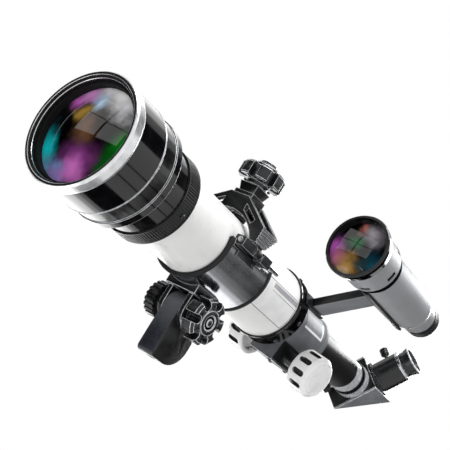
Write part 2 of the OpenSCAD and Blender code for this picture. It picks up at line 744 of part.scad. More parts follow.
// Round-headed screws: round the rear cell, in the ribbed ring, and under the pinion block's cover
cell_screw_turns = [20, 97, 140, 260];
cell_screw_y = cell_y + cell_len * 0.75;
rib_screw_turn = 100;
rib_screw_y = rib_y + rib_len * 0.7;
module screw_head() {
    turned([[0, 0], [2, 0], [1.6, 0.8], [0.5, 1.1], [0, 1.1]]);
}
module screws() color("silver") {
    for (a = cell_screw_turns) clock(a) translate([0, cell_screw_y, cell_r + fit]) screw_head();
    clock(rib_screw_turn) translate([0, rib_screw_y, rib_r + fit]) screw_head();
    in_focuser() for (x = [-1, 1] * (block_w / 2 - 4), y = [-1, 1] * (block_len / 2 - 4))
        translate([x, pinion_y + y, axis_h - block_z - cover_t - fit]) rotate([180, 0, 0]) screw_head();
}

flange_len = 5;
module focuser_body() color("#77797d") in_focuser() difference() {
    union() {
        on_axis(focuser_y) turned([[0, 0], [focuser_r + 4, 0], [focuser_r + 4, flange_len - 1],
            [focuser_r + 3, flange_len], [focuser_r, flange_len], [focuser_r, focuser_len - 6],
            [focuser_r + 0.8, focuser_len - 5], [focuser_r + 0.8, focuser_len - 1], [focuser_r, focuser_len],
            [0, focuser_len]]);
        translate([-block_w / 2, pinion_y - block_len / 2, axis_h - block_z])
            cube([block_w, block_len, block_z - draw_r * 0.6]);
        across(shaft_shift - boss_half, pinion_y, axis_h - pinion_drop)
            cylinder(r = boss_r, h = 2 * boss_half);
    }
    draw_passage(focuser_bore, focuser_y - cut, focuser_end + cut);
    across(shaft_shift - focus_knob_x, pinion_y, axis_h - pinion_drop)
        cylinder(r = shaft_d / 2 + run, h = 2 * focus_knob_x);
    translate([-pinion_w / 2 - 0.6, pinion_y - pinion_tip - 1, axis_h - block_z - cut])
        cube([pinion_w + 1.2, 2 * (pinion_tip + 1), block_z - draw_r + cut]);
}

// Two nylon rings that guide the drawtube in the focuser's bore
liner_len = 10;
module draw_liner() color("#e8e6df") in_focuser() difference() {
    for (y = [focuser_y + 2, focuser_end - liner_len - 2])
        on_axis(y) ring(focuser_bore - fit, draw_r + run, liner_len);
    translate([-rack_w / 2 - free, focuser_y - cut, axis_h - focuser_r])
        cube([rack_w + 2 * free, focuser_len, focuser_r]);
}

// Plate that closes the pinion block from below
module pinion_cover() color("#5d5f63") in_focuser()
    translate([-block_w / 2, pinion_y - block_len / 2, axis_h - block_z - cover_t])
        cube([block_w, block_len, cover_t]);

// Focus shaft body

shaft_half = focus_knob_x + bolt_hold;
module focus_shaft() color("silver") in_focuser()
    across(shaft_shift - shaft_half, pinion_y, axis_h - pinion_drop)
        cylinder(r = shaft_d / 2, h = 2 * shaft_half);

module pinion() color("goldenrod") in_focuser()
    translate([-pinion_w / 2, pinion_y, axis_h - pinion_drop]) rotate([90, 0, 90]) difference() {
        linear_extrude(pinion_w) polygon(pinion_outline);
        translate([0, 0, -cut]) cylinder(r = shaft_d / 2 + fit, h = pinion_w + 2 * cut);
    }

// White hand knob along +Z: dished on the inner side, with rounded pockets round its rim
knob_pockets = 10;
module focus_knob() {
    r = focus_knob_d / 2;
    pocket_r = 2.4;
    pocket_in = 2.6;
    pocket_z = [6, focus_knob_len - 6.5];
    difference() {
        turned([[0, 0], [boss_r, 0], [boss_r, 5], [r - 4, 5], [r - 3, 0], [r - 1, 0], [r, 1.2],
            [r, focus_knob_len - 4], [r - 2, focus_knob_len - 1], [r - 3.2, focus_knob_len - 0.4],
            [r - 4.5, focus_knob_len - 1], [r - 5.5, focus_knob_len], [0, focus_knob_len]]);
        translate([0, 0, -cut]) cylinder(r = shaft_d / 2 + fit, h = bolt_hold + free + cut);
        for (i = [0:knob_pockets - 1]) rotate([0, 0, 360 * i / knob_pockets]) {
            for (z = pocket_z) translate([r - pocket_in, 0, z]) rotate([0, 90, 0])
                cylinder(r = pocket_r, h = pocket_in + cut);
            translate([r - pocket_in, -pocket_r, pocket_z[0]])
                cube([pocket_in + cut, 2 * pocket_r, pocket_z[1] - pocket_z[0]]);
        }
    }
}

module focus_knob_near() color("#f1f1f1") in_focuser()
    across(focus_knob_x + shaft_shift, pinion_y, axis_h - pinion_drop) focus_knob();

module focus_knob_far() color("#f1f1f1") in_focuser() mirror([1, 0, 0])
    across(focus_knob_x - shaft_shift, pinion_y, axis_h - pinion_drop) focus_knob();

// Drawtube body

rack_y0 = pinion_y - rack_out - rack_spare;
rack_y1 = pinion_y + rack_in + rack_spare;
module drawtube() color("#0e0f11") in_focuser() difference() {
    on_axis(focuser_end - draw_in) ring(draw_r, draw_r - draw_wall, draw_in + draw_out);
    translate([-rack_w / 2 - fit, rack_y0 - fit, axis_h - draw_r - cut])
        cube([rack_w + 2 * fit, rack_y1 - rack_y0 + 2 * fit, draw_r - rack_floor + cut]);
}

// Points of the rack's tooth side, as distance along the rack and depth below the axis
function rack_tooth(y) = let (half = tooth_pitch / 4 - backlash / 4, slope = tan(pressure))
    [[y - half - rack_ded * slope, rack_pitch_z - rack_ded],
     [y - half + rack_add * slope, rack_pitch_z + rack_add],
     [y + half - rack_add * slope, rack_pitch_z + rack_add],
     [y + half + rack_ded * slope, rack_pitch_z - rack_ded]];
rack_first = ceil((rack_y0 + tooth_pitch / 2 - pinion_y) / tooth_pitch - 0.5);
rack_last = floor((rack_y1 - tooth_pitch / 2 - pinion_y) / tooth_pitch - 0.5);
module rack() color("goldenrod") in_focuser() translate([0, 0, axis_h]) mirror([0, 0, 1]) slab_x(rack_w)
    polygon(concat([[rack_y0, rack_floor], [rack_y0, rack_pitch_z - rack_ded]],
        [for (i = [rack_first:rack_last]) each rack_tooth(pinion_y + (i + 0.5) * tooth_pitch)],
        [[rack_y1, rack_pitch_z - rack_ded], [rack_y1, rack_floor]]));

// End collar: a chrome band, a neck and a knurled ring that the diagonal's nose plugs into
collar_spigot = 8;
knurl_r = socket_r + 4;
screw_y = knurl_end - knurl_len * 0.55;
screw_turn = 225;
module draw_collar() color("#d5d7d9") difference() {
    union() {
        on_axis(draw_end) turned([[socket_r, -collar_spigot], [draw_r - draw_wall - fit, -collar_spigot],
            [draw_r - draw_wall - fit, 0], [draw_r, 0], [draw_r, collar_len - 1], [draw_r - 0.8, collar_len],
            [socket_r + 1.6, collar_len], [socket_r + 1.6, knurl_end - draw_end - 1],
            [socket_r, knurl_end - draw_end]]);
        difference() {
            on_axis(knurl_end - knurl_len) ribbed(knurl_r, 0.6, 48, knurl_len);
            on_axis(draw_end) cylinder(r = socket_r + 0.8, h = 2 * collar_len + knurl_len);
        }
    }
    clock(screw_turn) translate([0, screw_y, 0]) cylinder(r = screw_r + run, h = knurl_r + cut);
}

module collar_screw() color("#9a9c9f") clock(screw_turn) translate([0, screw_y, 0])
    thumbscrew(socket_r + free, knurl_r + 3);

// Diagonal body, made with its exit along +Z and then turned about the optical axis

module in_diagonal() {
    translate([0, diag_y, axis_h]) rotate([0, exit_turn, 0]) children();
}

// Stands a shape made along +Z on the diagonal's entry axis, pointing rearwards
module on_entry(y) {
    in_diagonal() translate([0, y, 0]) rotate([-90, 0, 0]) children();
}

nose_ri = nose_r - nose_wall;
module diagonal_nose() color("#d5d7d9") on_entry(-nose_len) ring(nose_r, nose_ri, nose_len);

// Outline of the housing, with its right angle at the top front edge, drawn in Y and Z
module housing_outline() {
    polygon([[0, prism_leg / 2], [prism_leg, prism_leg / 2], [0, -prism_drop]]);
}

// Outline of the glass, set back from the entry and exit faces and grown by room
glass_gap = 2.5;
glass_leg = prism_leg - 2.4 * glass_gap;
module glass_outline(room) {
    translate([glass_gap - room, prism_leg / 2 - glass_gap + room])
        polygon([[0, 0], [glass_leg + 3 * room, 0], [0, -glass_leg - 3 * room]]);
}

side_t = 1.6;
module diagonal_housing() color("#17181a") in_diagonal() difference() {
    slab_x(prism_w - 2 * side_t) housing_outline();
    slab_x(prism_w - 2 * side_t - 2 * glass_gap) glass_outline(fit);
    translate([0, -cut, 0]) rotate([-90, 0, 0]) cylinder(r = nose_ri, h = glass_gap + 2 * cut);
    translate([0, prism_leg / 2, prism_leg / 2 - glass_gap - cut])
        cylinder(r = socket_r - 2, h = glass_gap + 2 * cut);
}

module diagonal_sides() color("#4b4d51") in_diagonal() for (side = [-1, 1])
    slab_x(side_t - fit, side * (prism_w / 2 - side_t / 2)) housing_outline();

module prism() color("#c5d6e6") in_diagonal()
    slab_x(prism_w - 2 * side_t - 2 * glass_gap - 2 * fit) glass_outline(0);

exit_y = prism_leg / 2;
exit_screw_z = prism_leg / 2 + exit_len * 0.62;
module exit_tube() color("#1f2022") in_diagonal() difference() {
    translate([0, exit_y, prism_leg / 2]) turned([[socket_r - 2, 0], [exit_r + 2.5, 0], [exit_r + 2.5, 1.5],
        [exit_r, 2.2], [exit_r, exit_len], [socket_r, exit_len], [socket_r, 4], [socket_r - 2, 4]]);
    translate([0, exit_y, exit_screw_z]) rotate([0, -90, 0]) cylinder(r = screw_r + run, h = exit_r + cut);
}

module exit_screw() color("#232427") in_diagonal() translate([0, exit_y, exit_screw_z]) rotate([0, -90, 0])
    thumbscrew(socket_r + free, exit_r + 4);

// Eyepiece body: a bored barrel with a shoulder ring, two simple lenses in it, and its eyecup

eye_in = 17;
eye_ring = 2;
eye_wall = 1.6;
module eyepiece() color("#cfd1d4") in_diagonal() translate([0, exit_y, exit_top + free])
    turned([[nose_r - eye_wall, -eye_in], [nose_r, -eye_in], [nose_r, 0], [exit_r + 0.3, 0],
        [exit_r + 0.3, 0.8], [exit_r - 0.4, 1], [exit_r + 0.3, 1.2], [exit_r + 0.3, eye_ring],
        [nose_r - eye_wall, eye_ring]]);

// Flat-backed lens along +Z, with its edge of thickness t and its bulge of radius R
module half_lens(r, t, R) {
    turned(concat([[0, 0], [r, 0]], backwards(lens_face(r, t, R, 1))));
}

module eye_lenses() color("#b9c9e8") for (z = [-eye_in + 1, -3.5])
    in_diagonal() translate([0, exit_y, exit_top + free + z]) half_lens(nose_r - eye_wall - fit, 1.5, 24);

eyecup_len = eye_out - eye_ring;
module eyecup() color("#2c2d30") in_diagonal() translate([0, exit_y, exit_top + free + eye_ring])
    turned([[nose_r - 4, 0], [nose_r - 0.8, 0], [nose_r - 1, eye_out * 0.3],
        [nose_r + 0.6, eyecup_len - 1.5], [nose_r + 0.9, eyecup_len - 0.8], [nose_r + 0.5, eyecup_len],
        [nose_r - 1, eyecup_len], [nose_r - 4, eye_out * 0.4]]);

// Finder, on the optical tube body, made on its own axis above the tube and then turned

module in_finder(y) {
    clock(finder_turn) translate([0, y, finder_rho]) rotate([-90, 0, 0]) children();
}

// Shoe screwed to the rear cell, standing out behind it to carry the finder's arm
module finder_shoe() color("#18191b") difference() {
    clock(finder_turn) translate([-shoe_w / 2, shoe_y, cell_r * 0.8])
        cube([shoe_w, shoe_len, shoe_top - cell_r * 0.8]);
    on_axis(cell_y) cylinder(r = cell_r + fit, h = cell_len + fit);
    on_axis(focuser_y) cylinder(r = cell_r - 2, h = 2 * shoe_len);
}

// Bar from the shoe to the finder, cast in one with the trough that the finder lies in
trough_half = 62;
module finder_arm() color("#6f7175") difference() {
    union() {
        clock(finder_turn) translate([-arm_t / 2, arm_y, shoe_top + fit])
            cube([arm_t, arm_w, finder_rho - finder_r * 0.8 - shoe_top - fit]);
        in_finder(finder_cradle_y) rotate([0, 0, 90 - trough_half]) rotate_extrude(angle = 2 * trough_half)
            translate([finder_r - cut, 0]) square([finder_cradle_t + cut, finder_cradle_len]);
    }
    in_finder(finder_body_y - cut) cylinder(r = finder_r + fit, h = finder_body_len);
}

// Black rim, silver collar with notches and black band, in one threaded front cell
collar_z = finder_rim_len + finder_collar_len;
module finder_front() color("#b4b6b9") in_finder(finder_y) difference() {
    turned([[finder_lens_r + fit, 0], [finder_rim_r - 0.8, 0], [finder_rim_r, 1], [finder_rim_r - 0.3, 4],
        [finder_rim_r - 2, finder_rim_len], [finder_collar_r, finder_rim_len + 0.5],
        [finder_collar_r - 0.6, collar_z - 1], [finder_collar_r - 1.4, collar_z],
        [finder_r + 1.5, collar_z], [finder_r + 1.5, collar_z + finder_band_len],
        [finder_r - finder_wall, collar_z + finder_band_len], [finder_r - finder_wall, collar_z],
        [finder_r - finder_wall, collar_z - 4], [finder_lens_r - 3, finder_lens_y + finder_glass],
        [finder_lens_r + fit, finder_lens_y + finder_glass]]);
    for (i = [0:5]) rotate([0, 0, 60 * i + 15]) translate([finder_collar_r - 1.2, -4, collar_z - 7])
        cube([3, 8, 3.5]);
}

module finder_body() color("#c6c8ca") in_finder(finder_body_y) turned(concat(
    [[finder_r - finder_wall, 0], [finder_r, 0], [finder_r, finder_body_len - finder_shoulder]],
    arc([finder_r - finder_shoulder, finder_body_len - finder_shoulder], finder_shoulder, 5, 65, 8),
    [[finder_neck_r, finder_body_len - 1], [finder_neck_r, finder_body_len + finder_neck_len],
     [finder_eye_r + run, finder_body_len + finder_neck_len], [finder_eye_r + run, finder_body_len - 4],
     [finder_r - finder_wall, finder_body_len - finder_shoulder - finder_wall]]));

module finder_lens() color("#b9c9e8") in_finder(finder_y + finder_lens_y)
    turned(concat(lens_face(finder_lens_r, 0, finder_bulge, -1),
        [[finder_lens_r, finder_glass], [0, finder_glass]]));

// Ring with two cross wires, in the finder's focal plane
module finder_reticle() color("#111111") in_finder(finder_neck_y - reticle_in) {
    ring(finder_r - finder_wall - fit, finder_r - finder_wall - 3, 1.5);
    for (a = [0, 90]) rotate([0, 0, a]) translate([-finder_r + finder_wall + 2, -0.2, 0.5])
        cube([2 * (finder_r - finder_wall - 2), 0.4, 0.4]);
}

finder_eye_in = 9;
module finder_eyepiece() color("#151618") in_finder(finder_neck_y + finder_neck_len + free)
    turned([[finder_eye_r - 2, -finder_eye_in], [finder_eye_r, -finder_eye_in], [finder_eye_r, 0],
        [finder_neck_r + 0.2, 0], [finder_neck_r + 0.2, 3], [finder_neck_r - 0.8, 3.5],
        [finder_neck_r - 0.4, finder_cup_len - 1.5], [finder_neck_r - 1.2, finder_cup_len],
        [finder_neck_r - 3, finder_cup_len], [finder_eye_r - 2, finder_cup_len - 4]]);

module finder_eye_lens() color("#b9c9e8") in_finder(finder_neck_y + finder_neck_len + finder_cup_len - 9)
    half_lens(finder_eye_r - 2 - fit, 2.5, 20);

tripod_foot();
tilt_bolt();
tilt_washers();
tilt_knob();
tilt_cap();
tilt_nut();
saddle();
saddle_edging();
saddle_liner();
ear_bracket();
hinge_plate();
hinge_pin();
catch_plate();
clamp_bridge();
clamp_bush();
clamp_shoe();
clamp_rubber();
clamp_stud();
clamp_knob();
clamp_cap();
main_tube();
baffles();
barrel();
bezel();
lens_retainer();
crown_lens();
lens_spacer();
flint_lens();
neck();
ribbed_ring();
rear_cell();
screws();
focuser_body();
draw_liner();
pinion_cover();
focus_shaft();
pinion();
focus_knob_near();
focus_knob_far();
drawtube();
rack();
draw_collar();
collar_screw();
diagonal_nose();
diagonal_housing();
diagonal_sides();
prism();
exit_tube();
exit_screw();
eyepiece();
eye_lenses();
eyecup();
finder_shoe();
finder_arm();
finder_front();
finder_body();
finder_lens();
finder_reticle();
finder_eyepiece();
finder_eye_lens();
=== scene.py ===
"""Looks of a small achromatic refractor: finishes, rounded edges, plates, screws, studio and camera."""

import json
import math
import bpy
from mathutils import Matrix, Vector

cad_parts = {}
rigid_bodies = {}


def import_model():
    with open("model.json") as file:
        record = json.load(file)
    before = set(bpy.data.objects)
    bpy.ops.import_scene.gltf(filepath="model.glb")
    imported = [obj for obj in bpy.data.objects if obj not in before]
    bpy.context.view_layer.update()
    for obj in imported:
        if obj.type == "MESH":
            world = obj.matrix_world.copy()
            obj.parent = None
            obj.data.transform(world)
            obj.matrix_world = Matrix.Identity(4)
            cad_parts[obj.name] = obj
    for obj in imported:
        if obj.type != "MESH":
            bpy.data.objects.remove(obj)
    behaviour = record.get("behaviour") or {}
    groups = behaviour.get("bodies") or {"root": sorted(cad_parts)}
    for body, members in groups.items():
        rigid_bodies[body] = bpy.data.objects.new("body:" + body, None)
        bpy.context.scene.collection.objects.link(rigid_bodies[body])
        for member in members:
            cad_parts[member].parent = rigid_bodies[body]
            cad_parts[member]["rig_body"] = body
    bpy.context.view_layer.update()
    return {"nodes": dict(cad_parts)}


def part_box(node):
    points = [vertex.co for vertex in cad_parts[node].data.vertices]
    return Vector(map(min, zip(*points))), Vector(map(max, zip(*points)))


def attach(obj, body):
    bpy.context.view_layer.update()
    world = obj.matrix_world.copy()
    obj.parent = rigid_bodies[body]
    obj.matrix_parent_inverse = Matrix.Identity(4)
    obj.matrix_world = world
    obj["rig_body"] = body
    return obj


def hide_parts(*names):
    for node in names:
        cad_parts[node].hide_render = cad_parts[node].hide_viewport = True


bl_info = {
    "name": "Small refractor",
    "version": (1, 0, 0),
    "blender": (4, 5, 0),
    "location": "3D View > Sidebar > Refractor",
    "description": "Dresses the solids of a small refractor telescope",
    "category": "Object",
}

import bmesh
import bpy
from bpy.props import FloatProperty, FloatVectorProperty, IntProperty, PointerProperty
from mathutils import Matrix, Vector

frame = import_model()

MM = 0.001
# Edges that turn more than this are rounded or shaded as corners
CORNER = math.radians(30)


def middle(node):
    """Middle of a solid's box."""
    return sum(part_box(node), Vector()) / 2


# Height of the optical axis above the tripod socket
AXIS_Z = middle("main_tube").z
# Axes of the turned pieces, each a point and a direction
OPTICAL_AXIS = (Vector((0, 0, AXIS_Z)), Vector((0, 1, 0)))


def off_axis(p, axis=OPTICAL_AXIS):
    """The way straight out from an axis to a point."""
    point, along = axis
    away = p - point
    return away - along * away.dot(along)


def outward(degrees):
    """The way out from the optical axis at an angle from the top, turned towards the finder."""
    return Vector((math.sin(math.radians(degrees)), 0, math.cos(math.radians(degrees))))


def on_round(y, degrees, radius):
    """A point at a place along the optical axis, an angle and a distance from it."""
    return OPTICAL_AXIS[0] + Vector((0, y, 0)) + outward(degrees) * radius


def radius_of(node, axis=OPTICAL_AXIS):
    """Radius of a turned solid about an axis along Y."""
    low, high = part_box(node)
    return max(high.x - axis[0].x, axis[0].x - low.x)


FINDER_AXIS = (OPTICAL_AXIS[0] + off_axis(middle("finder_body")), OPTICAL_AXIS[1])
EYE_AXIS = (on_round(middle("eyecup").y, 0, 0), off_axis(middle("eyecup")).normalized())
TUBE_R = radius_of("main_tube")
DRAW_R = radius_of("drawtube")
# The focuser's round body lies outside the drawtube by the guides and its own wall
FOCUSER_R = DRAW_R + 1.1 * MM + 3.0 * MM
# The focuser is turned about the optical axis, in degrees
FOCUSER_TURN = 8
# Distance of the pinion cover's face from the optical axis
COVER_REACH = 33.88 * MM


def linear(code):
    """Linear colour of an sRGB hex value."""
    parts = [int(code[i : i + 2], 16) / 255 for i in (1, 3, 5)]
    return tuple(c / 12.92 if c <= 0.04045 else ((c + 0.055) / 1.055) ** 2.4 for c in parts) + (1.0,)


def colour(label, words, code):
    """A colour that a user may change."""
    return FloatVectorProperty(
        name=label, description=words, subtype="COLOR", size=4, min=0, max=1, default=linear(code)
    )


def length(label, words, mm):
    """A length that a user may change, given in millimetres."""
    return FloatProperty(name=label, description=words, unit="LENGTH", min=0, default=mm * MM)


def power(label, words, watts):
    """A lamp's power that a user may change."""
    return FloatProperty(name=label, description=words, unit="POWER", min=0, default=watts)


class RefractorColours(bpy.types.PropertyGroup):
    white_enamel: colour("White enamel", "Paint of the main tube", "#f1f1f0")
    black_enamel: colour("Black enamel", "Paint of the lens barrel, rear cell and drawtube", "#08080a")
    grey_casting: colour("Grey casting", "Paint of the focuser and the finder's arm", "#6e7074")
    black_casting: colour("Black casting", "Paint of the foot and the cradle's fittings", "#0e0f11")
    black_moulding: colour("Black moulding", "Plastic of the diagonal and the thumbscrews", "#0c0c0d")
    charcoal_moulding: colour("Charcoal moulding", "Plastic of the hand knobs and the eyecup", "#17181a")
    white_moulding: colour("White moulding", "Plastic of the focus knobs", "#fbfbfb")
    silver_paint: colour("Silver paint", "Paint of the finder", "#a9abae")
    chrome: colour("Chrome", "Plating of the diagonal's nose and the eyepiece", "#d6d8db")
    steel: colour("Steel", "Metal of the cradle band, pins and bolts", "#a9abae")
    brass: colour("Brass", "Metal of the rack, pinion and bush", "#c39a4a")


class RefractorSizes(bpy.types.PropertyGroup):
    edge: length("Edge", "Rounding of cast and moulded edges", 0.45)
    fine_edge: length("Fine edge", "Rounding of turned and thin edges", 0.22)
    knob_edge: length("Knob edge", "Rounding of the hand knobs", 0.308)
    rim_edge: length("Rim edge", "Rounding of the polished rim", 0.352)
    bridge_edge: length("Bridge edge", "Rounding of the clamp bridge", 0.72)
    housing_edge: length("Housing edge", "Rounding of the diagonal's housing", 0.81)
    label_line: length("Label line", "Width of the lines round the bare panel", 0.45)
    badge_border: length("Badge border", "Width of the border of the focuser's bare plate", 1.9)
    screw_head: length("Screw head", "Radius of the small round-headed screws", 2.0)
    ribs: IntProperty(name="Ribs", description="Ribs round the ribbed ring", default=110, min=40, max=200)
    knurls: IntProperty(name="Knurls", description="Ridges round the collar", default=48, min=24, max=120)


class RefractorStage(bpy.types.PropertyGroup):
    floor_drop: length("Floor drop", "Depth of the floor below the foot", 700)
    key: power("Key", "Power of the lamp above", 8.2)
    side: power("Side", "Power of the lamp beside the tube", 2.4)
    window: power("Window", "Power of each pane of the window", 0.17)
    front: power("Front", "Power of the lamp before the lens", 1.5)
    low: power("Low", "Power of the lamp near the floor", 1.5)
    sky: FloatProperty(name="Sky", description="Light from all round", default=0.38, min=0, max=2)


def sizes():
    return bpy.context.scene.refractor_sizes


# Finishes


def add(tree, kind, settings=None, links=None):
    """Adds a node. Settings are its properties or inputs, and links are the sockets that feed its inputs."""
    made = tree.nodes.new(kind)
    for key, value in (settings or {}).items():
        if isinstance(key, str) and hasattr(made, key):
            setattr(made, key, value)
        else:
            made.inputs[key].default_value = value
    for key, source in (links or {}).items():
        tree.links.new(source, made.inputs[key])
    return made


def start(name, **sockets):
    """A new material with these values on its shader. Gives its tree, shader and object coordinates."""
    made = bpy.data.materials.new(name)
    made.use_nodes = True
    tree = made.node_tree
    shader = tree.nodes["Principled BSDF"]
    for key, value in sockets.items():
        shader.inputs[key.replace("_", " ")].default_value = value
    return tree, shader, add(tree, "ShaderNodeTexCoord").outputs["Object"]


def surface(name, mm, low, high, sheen, grain=None, **sockets):
    """A finish that wanders between two tints over mm millimetres. sheen is its roughness, or the two that
    it wanders between, and grain is the size in millimetres, depth and stretch of its bumps."""
    tree, shader, place = start(name, **sockets)
    noise = add(tree, "ShaderNodeTexNoise", {"Scale": 1 / (mm * MM), "Detail": 4.0}, {"Vector": place})
    ramp = add(tree, "ShaderNodeValToRGB", None, {"Fac": noise.outputs["Fac"]})
    first, last = ramp.color_ramp.elements
    first.position, last.position = 0.35, 0.65
    first.color, last.color = low, high
    tree.links.new(ramp.outputs["Color"], shader.inputs["Base Color"])
    if isinstance(sheen, tuple):
        ends = {"From Min": 0.3, "From Max": 0.7, "To Min": sheen[0], "To Max": sheen[1]}
        spread = add(tree, "ShaderNodeMapRange", ends, {"Value": noise.outputs["Fac"]})
        tree.links.new(spread.outputs["Result"], shader.inputs["Roughness"])
    else:
        shader.inputs["Roughness"].default_value = sheen
    if grain:
        grit(tree, shader, place, *grain)
    return tree, shader, place


def grit(tree, shader, place, mm, depth, stretch=(1, 1, 1)):
    """Fine bumps of the given size in millimetres, drawn out along the axes by stretch."""
    spread = add(tree, "ShaderNodeVectorMath", {"operation": "MULTIPLY", 1: stretch}, {0: place})
    grain = {"Scale": 1 / (mm * MM), "Detail": 3.0, "Roughness": 0.55}
    noise = add(tree, "ShaderNodeTexNoise", grain, {"Vector": spread.outputs[0]}).outputs["Fac"]
    bump = add(tree, "ShaderNodeBump", {"Strength": depth, "Distance": 0.2 * MM}, {"Height": noise})
    tree.links.new(bump.outputs["Normal"], shader.inputs["Normal"])


def overlay(tree, shader, tint, amount):
    """Another tint over a finish's own colour, as far as the amount says."""
    mixed = add(tree, "ShaderNodeMix", {"data_type": "RGBA", 7: tint}, {0: amount})
    tree.links.new(shader.inputs["Base Color"].links[0].from_socket, mixed.inputs[6])
    tree.links.new(mixed.outputs[2], shader.inputs["Base Color"])


def paint_edge_highlights(tree, shader, tint, mm, most):
    """Paints a highlight on edges: a lighter tint where a normal rounded over mm departs from the true one.
    """
    soft = add(tree, "ShaderNodeBevel", {"samples": 6, "Radius": mm * MM})
    true = add(tree, "ShaderNodeNewGeometry")
    normals = {0: soft.outputs[0], 1: true.outputs["True Normal"]}
    match = add(tree, "ShaderNodeVectorMath", {"operation": "DOT_PRODUCT"}, normals)
    ends = {"From Min": 0.985, "From Max": 0.85, "To Min": 0.0, "To Max": most}
    highlight_amount = add(tree, "ShaderNodeMapRange", ends, {"Value": match.outputs["Value"]})
    overlay(tree, shader, tint, highlight_amount.outputs["Result"])


def shades(tint, *factors):
    """A tint made darker or lighter by each factor."""
    return [tuple(min(1.0, c * factor) for c in tint[:3]) + (1.0,) for factor in factors]


def make_finishes():
    c = bpy.context.scene.refractor_colours
    # Stoved white enamel on a rolled tube: bright, smooth, with a faint unevenness in its gloss
    surface("gloss_white", 14, *shades(c.white_enamel, 0.95, 1), (0.26, 0.36), (0.9, 0.03),
            Specular_IOR_Level=0.4)
    # Gloss black enamel on turned alloy: deep black with sharp window reflections
    surface("gloss_black", 10, *shades(c.black_enamel, 0.7, 1.3), (0.07, 0.13))
    # The same enamel rubbed to a satin on the drawtube, which slides
    surface("satin_black", 12, *shades(c.black_enamel, 0.8, 1.2), (0.32, 0.37))
    # Die-cast alloy under grey paint: satin, with the fine skin of the casting
    surface("grey_die_cast", 9, *shades(c.grey_casting, 0.86, 1.08), (0.36, 0.5), (0.8, 0.12))
    # The same casting on the finder's arm, painted paler as a lit copy of the grey paint
    surface("pale_die_cast", 9, *shades(c.grey_casting, 1.3, 1.5), (0.36, 0.46), (0.8, 0.08))
    # Die-cast alloy under black paint: dark satin with rubbed, slightly lighter patches
    surface("black_casting", 8, *shades(c.black_casting, 0.7, 1.5), (0.28, 0.44), (0.8, 0.15))
    # Injection-moulded ABS, black: satin with a fine spark-eroded grain
    surface("black_moulding", 7, *shades(c.black_moulding, 0.8, 1.35), (0.26, 0.4), (0.5, 0.1))
    # The same ABS in graphite on the bridge, with painted highlights on its edges
    tree, shader, _ = surface("graphite_moulding", 7, linear("#0b0c0d"), linear("#141517"), (0.26, 0.4),
                              (0.5, 0.1), Specular_IOR_Level=0.35)
    paint_edge_highlights(tree, shader, linear("#dcdee1"), 0.8, 0.9)
    # The same ABS in charcoal on the hand knobs, polished a little by fingers
    surface("charcoal_moulding", 6, *shades(c.charcoal_moulding, 0.75, 1.25), (0.22, 0.36), (0.5, 0.06))
    # Painted highlight for the rounded edges of dark pieces, a pale metallic grey in place of light caught on
    # them
    surface("rubbed_edge", 3, linear("#a9abaf"), linear("#dcdee1"), (0.24, 0.38), Metallic=0.3)
    # The foot's front: a blue-grey hammer texture painted paler than the black sides as light, and paler
    # still upwards
    tree, shader, place = surface("hammer_finish", 1.6, linear("#181b21"), linear("#2b303a"), (0.34, 0.44),
                                  (0.9, 0.15))
    # Painted light that grows from the toe to the crown
    toe, crown = 18 * MM, 48 * MM
    height = add(tree, "ShaderNodeSeparateXYZ", None, {0: place}).outputs["Z"]
    ends = {"From Min": toe, "From Max": crown, "To Max": 0.6}
    rise = add(tree, "ShaderNodeMapRange", ends, {"Value": height})
    overlay(tree, shader, linear("#7d8085"), rise.outputs["Result"])
    # Injection-moulded ABS, white: smooth and glossy
    surface("white_moulding", 9, *shades(c.white_moulding, 0.95, 1), (0.24, 0.34), (0.7, 0.03),
            Specular_IOR_Level=0.4)
    # Painted shade in the bottoms of the focus knobs' finger pockets, a dark grey in place of the shade there
    surface("pocket_grime", 2.5, linear("#161617"), linear("#3c3c3f"), (0.4, 0.6))
    # Aluminium paint on the finder: satin silver with a fine metallic grain
    surface("silver_paint", 22, *shades(c.silver_paint, 0.97, 1.02), (0.31, 0.36), (0.35, 0.05), Metallic=0.4)
    # The same paint, darker, on the finder's body
    surface("pewter_paint", 22, *shades(c.silver_paint, 0.82, 0.88), (0.31, 0.36), (0.35, 0.05), Metallic=0.3)
    # Chrome plate on turned brass: mirror-like with faint rings from the lathe
    surface("chrome", 5, *shades(c.chrome, 0.93, 1), (0.09, 0.16), (1.2, 0.04, (1, 9, 1)), Metallic=1.0)
    # Polished alloy of the rim: bright, with slightly duller patches
    surface("polished_alloy", 5, linear("#dcdddf"), linear("#ececee"), (0.2, 0.26), Metallic=0.8)
    # Bright nickel plate on the drawtube's collar, satin
    surface("satin_nickel", 3, linear("#c4c6c9"), linear("#dcdee1"), (0.26, 0.36), Metallic=0.4)
    # Rolled steel band, satin: brushed round the tube, so streaks run across its length
    surface("brushed_steel", 30, *shades(c.steel, 0.95, 1.02), (0.17, 0.22), (3, 0.006, (0.4, 9, 0.4)),
            Metallic=1.0)
    # Zinc-plated steel of pins and bolts: bright, with a crystalline mottle
    surface("plated_steel", 2, *shades(c.steel, 0.9, 1.2), (0.18, 0.34), Metallic=1.0)
    # Blackened steel of the small screws, lighter where a driver has rubbed them
    surface("blackened_steel", 1.2, linear("#18191b"), linear("#45474b"), (0.3, 0.42), Metallic=0.5)
    # Machined brass, dull between the teeth
    surface("turned_brass", 2, *shades(c.brass, 0.8, 1.05), (0.24, 0.4), Metallic=1.0)
    # Vulcanised rubber, matt black
    surface("matt_rubber", 3, linear("#0b0b0c"), linear("#17171a"), (0.6, 0.8), (0.6, 0.2))
    # Pressed wool felt, black, with its fibres drawn coarser than they are
    surface("wool_felt", 0.8, linear("#0a0a0a"), linear("#202021"), 0.95, (0.7, 0.5))
    # Blackened inner walls, flat black against stray light
    surface("flat_black", 3, linear("#060607"), linear("#101012"), (0.65, 0.85), Specular_IOR_Level=0.25)
